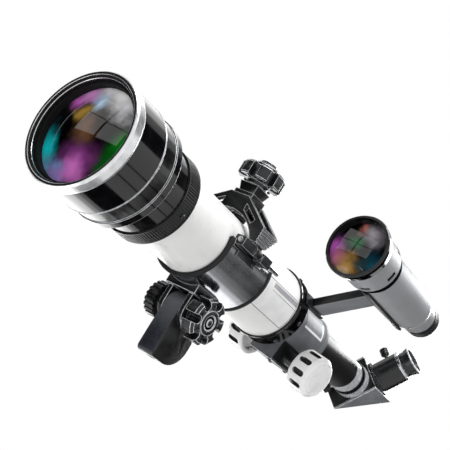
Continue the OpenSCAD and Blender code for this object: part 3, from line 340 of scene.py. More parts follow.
    # Cast nylon of the drawtube's guides: waxy, off-white
    surface("cast_nylon", 4, linear("#d6d3ca"), linear("#ece9e1"), (0.4, 0.55))
    # Vinyl film of the bare panel, smooth and a little duller than the tube, its printed lines and band, and
    # the focuser's bare plate
    surface("vinyl_film", 10, linear("#ececec"), linear("#f6f6f6"), (0.3, 0.42), Specular_IOR_Level=0.4)
    surface("printed_line", 3, linear("#242427"), linear("#3c3c40"), (0.35, 0.5))
    surface("printed_band", 4, linear("#97979c"), linear("#b4b4b9"), (0.35, 0.5))
    surface("plate_grey", 5, linear("#777a7e"), linear("#898b8f"), (0.3, 0.4))
    # Uncoated crown glass of the inner lenses and the prism: clear, with a cool cast
    surface("plain_glass", 20, linear("#d9e4ea"), linear("#e6eef0"), 0.03, IOR=1.52, Transmission_Weight=1.0)
    # The painted reflections lie within what the rims leave free of the two front lenses
    clear, finder_clear = radius_of("crown_lens") - 1.0 * MM, radius_of("finder_lens", FINDER_AXIS) - 0.4 * MM
    glass_with_painted_reflections("objective_coating", OPTICAL_AXIS, clear, OBJECTIVE_PAINTED_REFLECTIONS)
    glass_with_painted_reflections("finder_coating", FINDER_AXIS, finder_clear, FINDER_PAINTED_REFLECTIONS)


# Painted reflections in the coatings' tints, as places on the glass in parts of its radius: across, up and
# reach
OBJECTIVE_PAINTED_REFLECTIONS = (
    (-0.98, -0.3, 0.42, "#0e8f98"),
    (-0.78, -0.6, 0.5, "#10d8de"),
    (-0.45, -0.9, 0.42, "#7fb2e8"),
    (-0.05, -0.98, 0.4, "#a58fd8"),
    (0.15, -0.5, 0.6, "#8a4088"),
    (0.12, -0.74, 0.42, "#d878cc"),
    (0.95, 0.05, 0.55, "#0d7a1c"),
    (0.8, -0.4, 0.42, "#0b5c18"),
    (-0.72, 0.55, 0.34, "#d06ac8"),
    (-0.5, 0.76, 0.34, "#e09adb"),
    (-0.15, 0.92, 0.36, "#efe9f2"),
    (0.2, 0.86, 0.42, "#ffffff"),
    (0.5, 0.72, 0.38, "#f0eff2"),
    (-0.2, 0.6, 0.3, "#b4d4f0"),
    (-0.35, 0.32, 0.24, "#a8853c"),
    (-0.02, 0.08, 0.4, "#6b4a34"),
)
FINDER_PAINTED_REFLECTIONS = (
    (-0.85, -0.25, 0.56, "#b454b4"),
    (-0.5, -0.6, 0.46, "#b86a86"),
    (0.0, -0.75, 0.6, "#b98f4e"),
    (0.85, -0.42, 0.6, "#174a5c"),
    (0.4, -0.5, 0.36, "#2b3b3c"),
    (-0.13, 0.12, 0.46, "#15552c"),
    (-0.08, 0.66, 0.3, "#a0584e"),
    (0.3, 0.6, 0.5, "#98939c"),
    (0.6, 0.3, 0.36, "#6d6a72"),
)


def glass_with_painted_reflections(name, axis, radius, sheen):
    """Dark polished glass with soft painted reflections and highlights in its base colour, fixed on the
    glass.
    """
    # Magnesium fluoride on crown glass: black depth under a hard gloss, with tinted patches of painted
    # reflection
    tree, shader, place = start(name, Roughness=0.04, IOR=1.52, Coat_Weight=0.6, Coat_Roughness=0.03)
    # The painted reflections wander by a few millimetres, so that their edges are uneven
    noise = add(tree, "ShaderNodeTexNoise", {"Scale": 1 / (0.45 * radius), "Detail": 3.0}, {"Vector": place})
    half = {"operation": "SUBTRACT", 1: (0.5, 0.5, 0.5)}
    centred = add(tree, "ShaderNodeVectorMath", half, {0: noise.outputs["Color"]})
    stray = {"operation": "MULTIPLY_ADD", 1: (0.55 * radius, 0, 0.55 * radius)}
    wander = add(tree, "ShaderNodeVectorMath", stray, {0: centred.outputs[0], 2: place})
    flat = add(tree, "ShaderNodeVectorMath", {"operation": "MULTIPLY", 1: (1, 0, 1)}, {0: wander.outputs[0]})
    below = None
    # Each patch of sheen is a painted reflection or highlight, mixed into the base colour
    for across, up, reach, code in sheen:
        spot = axis[0] + Vector((across * radius, 0, up * radius))
        away = add(tree, "ShaderNodeVectorMath", {"operation": "DISTANCE", 1: spot}, {0: flat.outputs[0]})
        fade = {"interpolation_type": "SMOOTHSTEP", "From Max": reach * radius, "To Min": 1.0, "To Max": 0.0}
        near = add(tree, "ShaderNodeMapRange", fade, {"Value": away.outputs["Value"]})
        tints = {"data_type": "RGBA", 6: linear("#040405"), 7: linear(code)}
        mixed = add(tree, "ShaderNodeMix", tints, {0: near.outputs["Result"]})
        if below:
            tree.links.new(below, mixed.inputs[6])
        below = mixed.outputs[2]
    tree.links.new(below, shader.inputs["Base Color"])


# Pieces


def settle(made):
    """Turns an object's evaluated result into its own plain mesh."""
    bpy.context.view_layer.update()
    shape = bpy.data.meshes.new_from_object(made.evaluated_get(bpy.context.evaluated_depsgraph_get()))
    made.modifiers.clear()
    made.data = shape


def stand(name, mesh, finishes):
    """A new object at the origin with these finishes."""
    made = bpy.data.objects.new(name, mesh)
    bpy.context.scene.collection.objects.link(made)
    for finish in finishes:
        mesh.materials.append(bpy.data.materials[finish])
    return made


def poured(name, bm, finishes):
    """A new object from a mesh that was built up in memory."""
    mesh = bpy.data.meshes.new(name)
    bm.to_mesh(mesh)
    bm.free()
    return stand(name, mesh, finishes)


def shade_round(mesh, axis):
    """Gives faces turned about an axis, a point and a direction, the true normals of their round surface."""
    point, along = axis
    normals = [Vector(corner.vector) for corner in mesh.corner_normals]
    for face in mesh.polygons:
        height = (face.center - point).dot(along)
        out = off_axis(face.center, axis)
        radius = out.length
        if radius < 0.01 * MM:
            continue
        lean, rise = face.normal.dot(along), face.normal.dot(out) / radius
        # Faces that aren't turned about the axis keep their normals
        if lean * lean + rise * rise < 0.985:
            continue
        round_normals = {}
        for k in face.loop_indices:
            corner = mesh.vertices[mesh.loops[k].vertex_index].co
            up = (corner - point).dot(along)
            side = off_axis(corner, axis)
            if abs((side.length - radius) * rise + (up - height) * lean) > 0.05 * MM + 0.006 * radius:
                break
            round_normals[k] = (side.normalized() * rise + along * lean).normalized()
        else:
            for k, normal in round_normals.items():
                normals[k] = normal
    mesh.normals_split_custom_set(normals)


def dress(node, *finishes, edge=0.0, pick=None, slot=None, axis=None, edge_finish=None):
    """A smooth copy of a solid with rounded edges, in place of it. pick gives a face's finish from its middle
    and normal, axis is the one that it was turned about, and the edge finish is that of the rounded edges,
    a painted highlight where it is paler than the rest."""
    source = frame["nodes"][node]
    bm = bmesh.new()
    bm.from_mesh(source.data)
    bmesh.ops.remove_doubles(bm, verts=bm.verts, dist=2e-6)
    bmesh.ops.dissolve_degenerate(bm, dist=2e-6, edges=bm.edges)
    bmesh.ops.dissolve_limit(bm, angle_limit=math.radians(0.4), verts=bm.verts, edges=bm.edges)
    for face in bm.faces:
        face.smooth = True
        face.material_index = pick(face.calc_center_median(), face.normal) if pick else 0
    for side in bm.edges:
        side.smooth = side.is_manifold and side.calc_face_angle(0) < CORNER
    made = poured(node + "_skin", bm, finishes + ((edge_finish,) if edge_finish else ()))
    if edge:
        for side in made.data.edges:
            side.use_edge_sharp = False
        bevel = made.modifiers.new("edges", "BEVEL")
        bevel.width, bevel.segments = edge, 2
        bevel.limit_method, bevel.angle_limit = "ANGLE", CORNER
        bevel.harden_normals, bevel.use_clamp_overlap = True, True
        # The rounded edges take the edge finish, which paints a highlight on them where it is paler
        bevel.material = len(finishes) if edge_finish else -1
        settle(made)
    if axis:
        shade_round(made.data, axis)
    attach(made, source["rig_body"])
    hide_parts(node)


def within(radius):
    """Picks the second finish for faces nearer to the optical axis than a radius."""
    return lambda p, n: int(off_axis(p).length < radius)


def facing_back(y, axis=OPTICAL_AXIS):
    """Place of a shape made along +Z that stands on an axis along Y, pointing rearwards."""
    return Matrix.Translation((axis[0].x, y, axis[0].z)) @ Matrix.Rotation(math.radians(-90), 4, "X")


def turned(name, profile, place, finish, body):
    """A solid of revolution from (radius, height) points, closed by joining the last point to the first."""
    steps, count = 128, len(profile)
    bm = bmesh.new()
    rows = []
    for i in range(steps):
        a = 2 * math.pi * i / steps
        rows.append([bm.verts.new((r * math.cos(a), r * math.sin(a), h)) for r, h in profile])
    for here, after in zip(rows, rows[1:] + rows[:1]):
        for k in range(count):
            n = (k + 1) % count
            bm.faces.new((here[k], after[k], after[n], here[n]))
    bmesh.ops.remove_doubles(bm, verts=bm.verts, dist=1e-7)
    bmesh.ops.dissolve_degenerate(bm, dist=1e-7, edges=bm.edges)
    bmesh.ops.recalc_face_normals(bm, faces=bm.faces)
    bm.transform(place)
    for face in bm.faces:
        face.smooth = True
    for side in bm.edges:
        side.smooth = side.calc_face_angle(0) < CORNER
    made = poured(name, bm, (finish,))
    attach(made, body)
    return made


def lens(name, node, finish, axis, bulge, thick):
    """A smooth lens with a spherical front, in place of a solid whose front bulges towards -Y. bulge is the
    front's radius of curvature, and thick is the thickness at the edge."""
    low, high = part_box(node)
    rim, steps = (high.x - low.x) / 2, 32
    radii = [rim * i / steps for i in range(steps + 1)]
    face = [(r, bulge - math.sqrt(bulge * bulge - r * r)) for r in radii]
    back = face[-1][1] + thick
    profile = face + [(rim, back), (0, back)]
    made = turned(name, profile, facing_back(low.y, axis), finish, frame["nodes"][node]["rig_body"])
    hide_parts(node)


def wrap(name, strips, radius, thick, finishes):
    """Thin plates bent round the tube. A strip is its two ends along Y, its two angles and its finish."""
    bm = bmesh.new()
    for y0, y1, a0, a1, finish in strips:
        steps = max(2, int(abs(a1 - a0) / 2))
        rows = []
        for i in range(steps + 1):
            angle = a0 + (a1 - a0) * i / steps
            for r in (radius, radius + thick):
                rows.append([bm.verts.new(on_round(y, angle, r)) for y in (y0, y1)])
        faces = []
        for i in range(steps):
            low, top, low2, top2 = rows[2 * i : 2 * i + 4]
            faces += [(low[0], low[1], low2[1], low2[0]), (top2[0], top2[1], top[1], top[0])]
            faces += [(low[e], low2[e], top2[e], top[e]) for e in (0, 1)]
        for low, top in (rows[:2], rows[-2:]):
            faces.append((low[0], low[1], top[1], top[0]))
        for face in faces:
            bm.faces.new(face).material_index = finish
    bmesh.ops.recalc_face_normals(bm, faces=bm.faces)
    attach(poured(name, bm, finishes), "tube")


# Trees for what repeats


def tree_of(name, inputs):
    """An empty geometry tree with named inputs and one geometry output."""
    tree = bpy.data.node_groups.new(name, "GeometryNodeTree")
    tree.interface.new_socket("Geometry", in_out="INPUT", socket_type="NodeSocketGeometry")
    for label, kind in inputs.items():
        tree.interface.new_socket(label, in_out="INPUT", socket_type="NodeSocket" + kind)
    tree.interface.new_socket("Geometry", in_out="OUTPUT", socket_type="NodeSocketGeometry")
    return tree, add(tree, "NodeGroupInput").outputs


def end_tree(tree, points, shape, rotation, material):
    """Puts the shape on the points, realizes it, sets its material and joins it to the tree's output."""
    spread = {"Points": points, "Instance": shape.outputs[0], "Rotation": rotation.outputs[0]}
    many = add(tree, "GeometryNodeInstanceOnPoints", None, spread)
    real = add(tree, "GeometryNodeRealizeInstances", None, {"Geometry": many.outputs[0]})
    painted = add(tree, "GeometryNodeSetMaterial", None, {"Geometry": real.outputs[0], "Material": material})
    add(tree, "NodeGroupOutput", None, {"Geometry": painted.outputs[0]})
    return tree


def rib_tree():
    """Straight ribs round a ring that stands along +Z."""
    tree, given = tree_of(
        "ribs_round_a_ring", {"Count": "Int", "Radius": "Float", "Size": "Vector", "Material": "Material"}
    )
    ring = {"Vertices": given["Count"], "Radius": given["Radius"]}
    circle = add(tree, "GeometryNodeMeshCircle", None, ring)
    rib = add(tree, "GeometryNodeMeshCube", None, {"Size": given["Size"]})
    spot = add(tree, "GeometryNodeInputPosition")
    facing = add(tree, "FunctionNodeAlignRotationToVector", {"axis": "X"}, {"Vector": spot.outputs[0]})
    return end_tree(tree, circle.outputs[0], rib, facing, given["Material"])


def screw_tree():
    """Slotted round-headed screws on points that carry the way they face."""
    tree, given = tree_of(
        "slotted_screws", {"Radius": "Float", "Height": "Float", "Slot": "Vector", "Material": "Material"}
    )
    top = add(tree, "ShaderNodeMath", {"operation": "MULTIPLY", 1: 0.7}, {0: given["Radius"]})
    round_head = {"Radius Bottom": given["Radius"], "Radius Top": top.outputs[0], "Depth": given["Height"]}
    head = add(tree, "GeometryNodeMeshCone", {"Vertices": 24}, round_head)
    slot = add(tree, "GeometryNodeMeshCube", None, {"Size": given["Slot"]})
    lift = add(tree, "ShaderNodeCombineXYZ", None, {"Z": given["Height"]})
    raised = {"Geometry": slot.outputs[0], "Translation": lift.outputs[0]}
    cutter = add(tree, "GeometryNodeTransform", None, raised)
    solids = {0: head.outputs[0], 1: cutter.outputs[0]}
    slotted = add(tree, "GeometryNodeMeshBoolean", {"operation": "DIFFERENCE"}, solids)
    facing = add(tree, "GeometryNodeInputNamedAttribute", {"data_type": "FLOAT_VECTOR", "Name": "facing"})
    way = facing.outputs["Attribute"]
    turn = add(tree, "FunctionNodeAlignRotationToVector", {"axis": "Z"}, {"Vector": way})
    return end_tree(tree, given["Geometry"], slotted, turn, given["Material"])


def grown(name, tree, values, finish, body, points=(), place=Matrix.Identity(4)):
    """A plain mesh grown by a geometry tree from its values and from points, each a position and the way it
    faces."""
    mesh = bpy.data.meshes.new(name)
    mesh.from_pydata([p for p, way in points], [], [])
    if points:
        facing = mesh.attributes.new("facing", "FLOAT_VECTOR", "POINT")
        for item, (p, way) in zip(facing.data, points):
            item.vector = way
    made = stand(name, mesh, (finish,))
    grow = made.modifiers.new("grow", "NODES")
    grow.node_group = tree
    values = {**values, "Material": bpy.data.materials[finish]}
    for item in tree.interface.items_tree:
        if item.in_out == "INPUT" and item.name in values:
            grow[item.identifier] = values[item.name]
    settle(made)
    made.data.transform(place)
    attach(made, body)
    return made


class REFRACTOR_OT_finishes(bpy.types.Operator):
    """Makes the finishes of all the pieces"""

    bl_idname = "refractor.finishes"
    bl_label = "Finishes"

    def execute(self, context):
        make_finishes()
        return {"FINISHED"}


class REFRACTOR_OT_lens_end(bpy.types.Operator):
    """Dresses the lens barrel, its rim, its glass and the ribbed ring"""

    bl_idname = "refractor.lens_end"
    bl_label = "Lens end"

    def execute(self, context):
        s = sizes()

        def not_outward(p, n):
            return int(n.dot(off_axis(p).normalized()) < 0.3)

        # Painted highlights on the rounded edges of the barrel and the neck
        dress("barrel", "gloss_black", "flat_black", edge=s.fine_edge, slot="black_enamel",
              pick=within(radius_of("crown_lens") + 0.2 * MM), axis=OPTICAL_AXIS, edge_finish="rubbed_edge")
        dress("bezel", "polished_alloy", "flat_black", edge=s.rim_edge, slot="polished_rim", pick=not_outward,
              axis=OPTICAL_AXIS, edge_finish="polished_alloy")
        dress("lens_retainer", "flat_black", edge=s.fine_edge, axis=OPTICAL_AXIS)
        dress("lens_spacer", "flat_black")
        dress("flint_lens", "plain_glass")
        dress("neck", "gloss_black", edge=s.fine_edge, slot="black_enamel", axis=OPTICAL_AXIS,
              edge_finish="rubbed_edge")
        # The objective's front glass carries painted reflections and highlights in its base colour
        lens("objective_glass", "crown_lens", "objective_coating", OPTICAL_AXIS, bulge=130 * MM, thick=4 * MM)
        self.ribbed_ring(s)
        return {"FINISHED"}

    @staticmethod
    def ribbed_ring(s):
        """A ring with a lip at each end, and ribs that stand in the sunk part between."""
        low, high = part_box("ribbed_ring")
        bore, radius, depth = TUBE_R + 0.05 * MM, high.x, high.y - low.y
        lip, slope, sunk = 1.0 * MM, 0.2 * MM, 0.8 * MM
        rib_wide, rib_high, rib_proud = 0.8 * MM, 1.3 * MM, 0.8 * MM
        ring = turned(
            "ribbed_ring_core",
            [(bore, 0), (radius, 0), (radius, lip), (radius - sunk, lip + slope),
             (radius - sunk, depth - lip - slope), (radius, depth - lip), (radius, depth), (bore, depth)],
            facing_back(low.y), "black_moulding", "tube")
        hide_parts("ribbed_ring")
        grown(
            "ribbed_ring_ribs", rib_tree(),
            {"Count": s.ribs, "Radius": radius - sunk + rib_proud - rib_high / 2,
             "Size": (rib_high, rib_wide, depth - 2 * (lip + slope / 2))},
            "charcoal_moulding", "tube", place=facing_back(low.y + depth / 2))


class REFRACTOR_OT_tube(bpy.types.Operator):
    """Dresses the main tube and its bare panel"""

    bl_idname = "refractor.tube"
    bl_label = "Main tube"

    def execute(self, context):
        s = sizes()
        dress("main_tube", "gloss_white", "flat_black", slot="white_enamel", pick=within(TUBE_R - 0.5 * MM),
              axis=OPTICAL_AXIS)
        dress("baffles", "flat_black")
        # The panel runs from under the cradle to the rear cell, and its head starts clear of the cradle
        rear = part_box("rear_cell")[0].y - 1.0 * MM
        front, head = rear - 69 * MM, rear - 39 * MM
        # Angles of the panel's upper and lower sides, of its inner line and of its printed band
        top, low, inner, band = 72, 122.5, 86, (74.5, 82)
        film, ink, line = 0.04 * MM, 0.03 * MM, s.label_line
        arc = math.degrees(line / TUBE_R)
        wrap("bare_panel", [(front, rear, top, low, 0)], TUBE_R, film, ("vinyl_film",))
        wrap(
            "bare_panel_lines",
            [(front, rear, low - arc, low, 0), (front, rear, top, top + arc, 0),
             (front, front + line, top + arc, low - arc, 0), (rear - line, rear, top + arc, low - arc, 0),
             (head, rear - line, inner, inner + arc * 0.7, 0), (head, rear - line, *band, 1)],
            TUBE_R + film, ink, ("printed_line", "printed_band"))
        return {"FINISHED"}


class REFRACTOR_OT_focuser(bpy.types.Operator):
    """Dresses the rear cell, the focuser, its knobs and the small screws"""

    bl_idname = "refractor.focuser"
    bl_label = "Rear cell and focuser"

    def execute(self, context):
        s = sizes()
        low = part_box("focuser_body")[0].y
        flange = 6 * MM

        def block(p, n):
            return int(off_axis(p).length > FOCUSER_R + 1.0 * MM and p.y > low + flange)

        dress("rear_cell", "gloss_black", edge=s.fine_edge, slot="black_enamel", axis=OPTICAL_AXIS)
        dress("focuser_body", "grey_die_cast", "black_casting", edge=s.edge, slot="grey_casting", pick=block,
              axis=OPTICAL_AXIS)
        # Painted highlights on the pinion cover's rounded edges
        dress("pinion_cover", "black_casting", edge=s.edge, slot="grey_casting", edge_finish="rubbed_edge")
        dress("draw_liner", "cast_nylon")
        dress("focus_shaft", "plated_steel", edge=s.fine_edge, slot="steel")
        dress("pinion", "turned_brass", slot="brass")
        self.knob("focus_knob_near", s)
        self.knob("focus_knob_far", s)
        # The bare plate, with a pale border on two sides
        front, rear, top, bottom = low + 21 * MM, low + 52 * MM, 46, 88
        border, plate = s.badge_border, 0.25 * MM
        arc = math.degrees(border / (FOCUSER_R + plate))
        wrap(
            "focuser_plate",
            [(front, rear - border, top, bottom - arc, 0), (front, rear, bottom - arc, bottom, 1),
             (rear - border, rear, top, bottom - arc, 1)],
            FOCUSER_R, plate, ("plate_grey", "vinyl_film"))
        self.screws(s)
        return {"FINISHED"}

    @staticmethod
    def knob(node, s):
        """A focus knob with painted shade in its pockets: a face is in a pocket where it lies below the rim.
        """
        low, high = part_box(node)
        rim = (high.y - low.y) / 2
        axis = (middle(node), outward(90 + FOCUSER_TURN))
        pocket_half, pocket_deep, pocket_floor = 6.6 * MM, 0.9 * MM, 4.5 * MM

        def pocket(p, n):
            out = off_axis(p, axis).length
            within = abs((p - axis[0]).dot(axis[1])) < pocket_half
            return int(within and rim - pocket_floor < out < rim - pocket_deep)

        dress(node, "white_moulding", "pocket_grime", edge=s.fine_edge, slot="white_plastic", pick=pocket)

    @staticmethod
    def screws(s):
        """Screws round the rear cell, in the ribbed ring and in the corners of the pinion cover."""
        cell, ring_low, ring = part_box("rear_cell")[1], *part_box("ribbed_ring")
        cell_y, cell_seat = cell.y - 4 * MM, cell.x - 0.57 * MM
        ring_y = ring_low.y + 0.7 * (ring.y - ring_low.y)
        points = [(on_round(cell_y, angle, cell_seat), outward(angle)) for angle in (20, 97, 140, 260)]
        points.append((on_round(ring_y, 100, ring.x), outward(100)))
        down, side = 180 + FOCUSER_TURN, outward(90 + FOCUSER_TURN)
        cover_y = middle("pinion_cover").y
        for x in (-9 * MM, 9 * MM):
            for y in (-14 * MM, 14 * MM):
                points.append((on_round(cover_y + y, down, COVER_REACH) + side * x, outward(down)))
        made = grown(
            "slotted_screws", screw_tree(),
            {"Radius": s.screw_head, "Height": 1.0 * MM, "Slot": (5 * MM, 0.6 * MM, 0.9 * MM)},
            "blackened_steel", "tube", points)
        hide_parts("screws")


class REFRACTOR_OT_drawtube(bpy.types.Operator):
    """Dresses the drawtube, the rack and the end collar"""

    bl_idname = "refractor.drawtube"
    bl_label = "Drawtube"

    def execute(self, context):
        s = sizes()
        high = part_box("draw_collar")[1]
        # The collar's knurled end and the black groove before it
        knurl, ridge, sunk = 8 * MM, 0.9 * MM, 0.4 * MM
        groove, knurled = high.y - 12.3 * MM, high.y - knurl - 0.1 * MM

        def black(p, n):
            return int(groove < p.y < knurled or (p.y > groove - 0.2 * MM and n.y < -0.5))

        dress("drawtube", "satin_black", "flat_black", edge=s.fine_edge, slot="black_enamel",
              pick=within(DRAW_R - 1.3 * MM), axis=OPTICAL_AXIS)
        dress("rack", "turned_brass", slot="brass")
        dress("draw_collar", "satin_nickel", "black_moulding", edge=s.fine_edge, slot="polished_rim",
              pick=black, axis=OPTICAL_AXIS)
        grown(
            "collar_knurls", rib_tree(),
            {"Count": s.knurls, "Radius": high.x - sunk, "Size": (ridge, ridge, knurl)},
            "satin_nickel", "draw", place=facing_back(high.y - knurl / 2))
        dress("collar_screw", "black_moulding", "plated_steel", edge=s.fine_edge, slot="steel",
              pick=within(DRAW_R + 4 * MM))
        return {"FINISHED"}


class REFRACTOR_OT_diagonal(bpy.types.Operator):
    """Dresses the prism diagonal and the eyepiece"""

    bl_idname = "refractor.diagonal"
    bl_label = "Diagonal and eyepiece"

    def execute(self, context):
        s = sizes()
        dress("diagonal_nose", "chrome", edge=s.fine_edge, slot="polished_rim", axis=OPTICAL_AXIS)
        # Painted highlights on the rounded edges of the housing, its sides, the exit tube and the eyecup
        dress("diagonal_housing", "black_moulding", edge=s.housing_edge, slot="black_plastic",
              edge_finish="rubbed_edge")
        dress("diagonal_sides", "grey_die_cast", edge=s.edge, slot="black_plastic", edge_finish="rubbed_edge")
        dress("prism", "plain_glass", slot="glass")
        dress("exit_tube", "charcoal_moulding", edge=s.fine_edge, slot="black_plastic", axis=EYE_AXIS,
              edge_finish="rubbed_edge")
        dress("exit_screw", "black_moulding", edge=s.fine_edge, slot="steel")
        dress("eyepiece", "chrome", edge=s.fine_edge, slot="polished_rim", axis=EYE_AXIS)
        dress("eye_lenses", "plain_glass", slot="glass")
        dress("eyecup", "charcoal_moulding", edge=s.edge, slot="black_plastic", axis=EYE_AXIS,
              edge_finish="rubbed_edge")
        return {"FINISHED"}


class REFRACTOR_OT_finder(bpy.types.Operator):
    """Dresses the finder and its arm"""

    bl_idname = "refractor.finder"
    bl_label = "Finder"

    def execute(self, context):
        s = sizes()
        # The trough's reach from the finder's axis, and the notches' floors
        trough, notch_floor = 22 * MM, 21.6 * MM
        # Along the finder: the rim's end, the notches' two ends and the start of the dark band
        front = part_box("finder_front")[0].y
        rim, notch_start, notch_end, band = (front + at * MM for at in (9.8, 25.8, 29.8, 33.2))

        # Painted shade: the arm's trough and its faces that look forwards take black in place of the grey
        # paint
        def trough_or_front_painted_shade(p, n):
            return int(off_axis(p, FINDER_AXIS).length < trough or n.y < -0.5)

        # Black on the rim and the band, and painted shade on the floors of the shallow notches
        def dark(p, n):
            painted_notch_shade = notch_start < p.y < notch_end and off_axis(p, FINDER_AXIS).length < notch_floor
            return int(p.y < rim or p.y > band or painted_notch_shade)

        dress("finder_shoe", "black_casting", edge=s.edge, slot="black_alloy")
        dress("finder_arm", "pale_die_cast", "black_casting", edge=s.edge, slot="grey_casting",
              pick=trough_or_front_painted_shade)
        dress("finder_front", "silver_paint", "gloss_black", edge=s.fine_edge, slot="satin_silver", pick=dark,
              axis=FINDER_AXIS)
        dress("finder_body", "pewter_paint", edge=s.edge, slot="satin_silver", axis=FINDER_AXIS)
        # The finder's front glass carries painted reflections in its base colour
        lens("finder_glass", "finder_lens", "finder_coating", FINDER_AXIS, bulge=110 * MM, thick=5.5 * MM)
        dress("finder_reticle", "flat_black")
        dress("finder_eyepiece", "black_moulding", edge=s.fine_edge, slot="black_plastic", axis=FINDER_AXIS)
        dress("finder_eye_lens", "plain_glass", slot="glass")
        return {"FINISHED"}


class REFRACTOR_OT_cradle(bpy.types.Operator):
    """Dresses the cradle, its hinge and the clamp bridge"""

    bl_idname = "refractor.cradle"
    bl_label = "Cradle and clamp"

    def execute(self, context):
        s = sizes()
        dress("saddle", "brushed_steel", slot="steel", axis=OPTICAL_AXIS)
        dress("saddle_edging", "matt_rubber", edge=s.fine_edge, slot="rubber", axis=OPTICAL_AXIS)
        dress("saddle_liner", "wool_felt", slot="felt")
        # Painted highlights on the rounded edges of the cradle's black fittings and knobs, and on the bridge
        # through its finish
        for node in ("ear_bracket", "hinge_plate"):
            dress(node, "black_casting", edge=s.edge, slot="black_alloy", edge_finish="rubbed_edge")
        dress("hinge_pin", "plated_steel", edge=s.fine_edge, slot="steel")
        dress("catch_plate", "black_casting", edge=s.edge, slot="black_alloy", edge_finish="rubbed_edge")
        dress("clamp_bridge", "graphite_moulding", edge=s.bridge_edge, slot="black_plastic")
        dress("clamp_bush", "turned_brass", edge=s.fine_edge, slot="brass")
        dress("clamp_shoe", "plated_steel", edge=s.fine_edge, slot="steel")
        dress("clamp_rubber", "matt_rubber", edge=s.edge, slot="rubber")
        dress("clamp_stud", "plated_steel", edge=s.fine_edge, slot="steel")
        for node in ("clamp_knob", "clamp_cap"):
            dress(node, "charcoal_moulding", edge=s.knob_edge, slot="black_plastic", edge_finish="rubbed_edge")
        return {"FINISHED"}


class REFRACTOR_OT_foot(bpy.types.Operator):
    """Dresses the foot and the tilt joint"""

    bl_idname = "refractor.foot"
    bl_label = "Foot"

    def execute(self, context):
        s = sizes()
        # The faces that look forwards take the hammer texture, painted paler as lit
        dress("tripod_foot", "black_casting", "hammer_finish", edge=s.edge, slot="black_alloy",
              pick=lambda p, n: int(n.y < -0.35))
        for node in ("tilt_bolt", "tilt_washers"):
            dress(node, "plated_steel", edge=s.fine_edge, slot="steel")
        # Painted highlights on the rounded edges of the tilt knob, cap and nut
        for node in ("tilt_knob", "tilt_cap", "tilt_nut"):
            dress(node, "charcoal_moulding", edge=s.knob_edge, slot="black_plastic", edge_finish="rubbed_edge")
        return {"FINISHED"}


# Screens that only reflections see. Each is the way along the tube that it lies in, its two slants from the
# axis and its patches, and a patch is two turns about the axis from the near side upwards and a glow. Angles
# are in degrees.
SCREENS = (
    # Bands on the lens barrel and the rim
    (1, 44, 62, ((-101, -56, 0), (-30, -27.5, 0), (-6, -3.5, 0), (42, 80, 0), (80, 100, 0.5), (100, 120, 1.5),
                 (120, 150, 2), (150, 180, 0))),
    (1, 45.6, 62, ((-180, -120, 4), (-120, -110, 2))),
    (1, 44, 45.6, ((-180, -110, 0),)),
    # The soft change from pale to black and back across the cradle band
    (1, 37.8, 44, ((-170, -78, 4), (-78, -62, 2), (-62, -48, 0.5), (-48, -34, 0.25), (-34, 16, 0),
                   (16, 30, 0.5), (30, 150, 1.5), (150, 180, 0))),
    # Dark for the rear cell, and dark with a bright top for the focuser, the drawtube and the finder
    (1, 35.2, 37.8, ((-180, 180, 0),)),
    (1, 31.5, 35.2, ((-180, 60, 0), (60, 180, 0.5))),
    (1, 8, 31.5, ((-180, 60, 0), (60, 75, 5), (75, 180, 12))),
    # Dark for the faces that look forwards
    (-1, 3, 80, ((60, 250, 0),)),
)


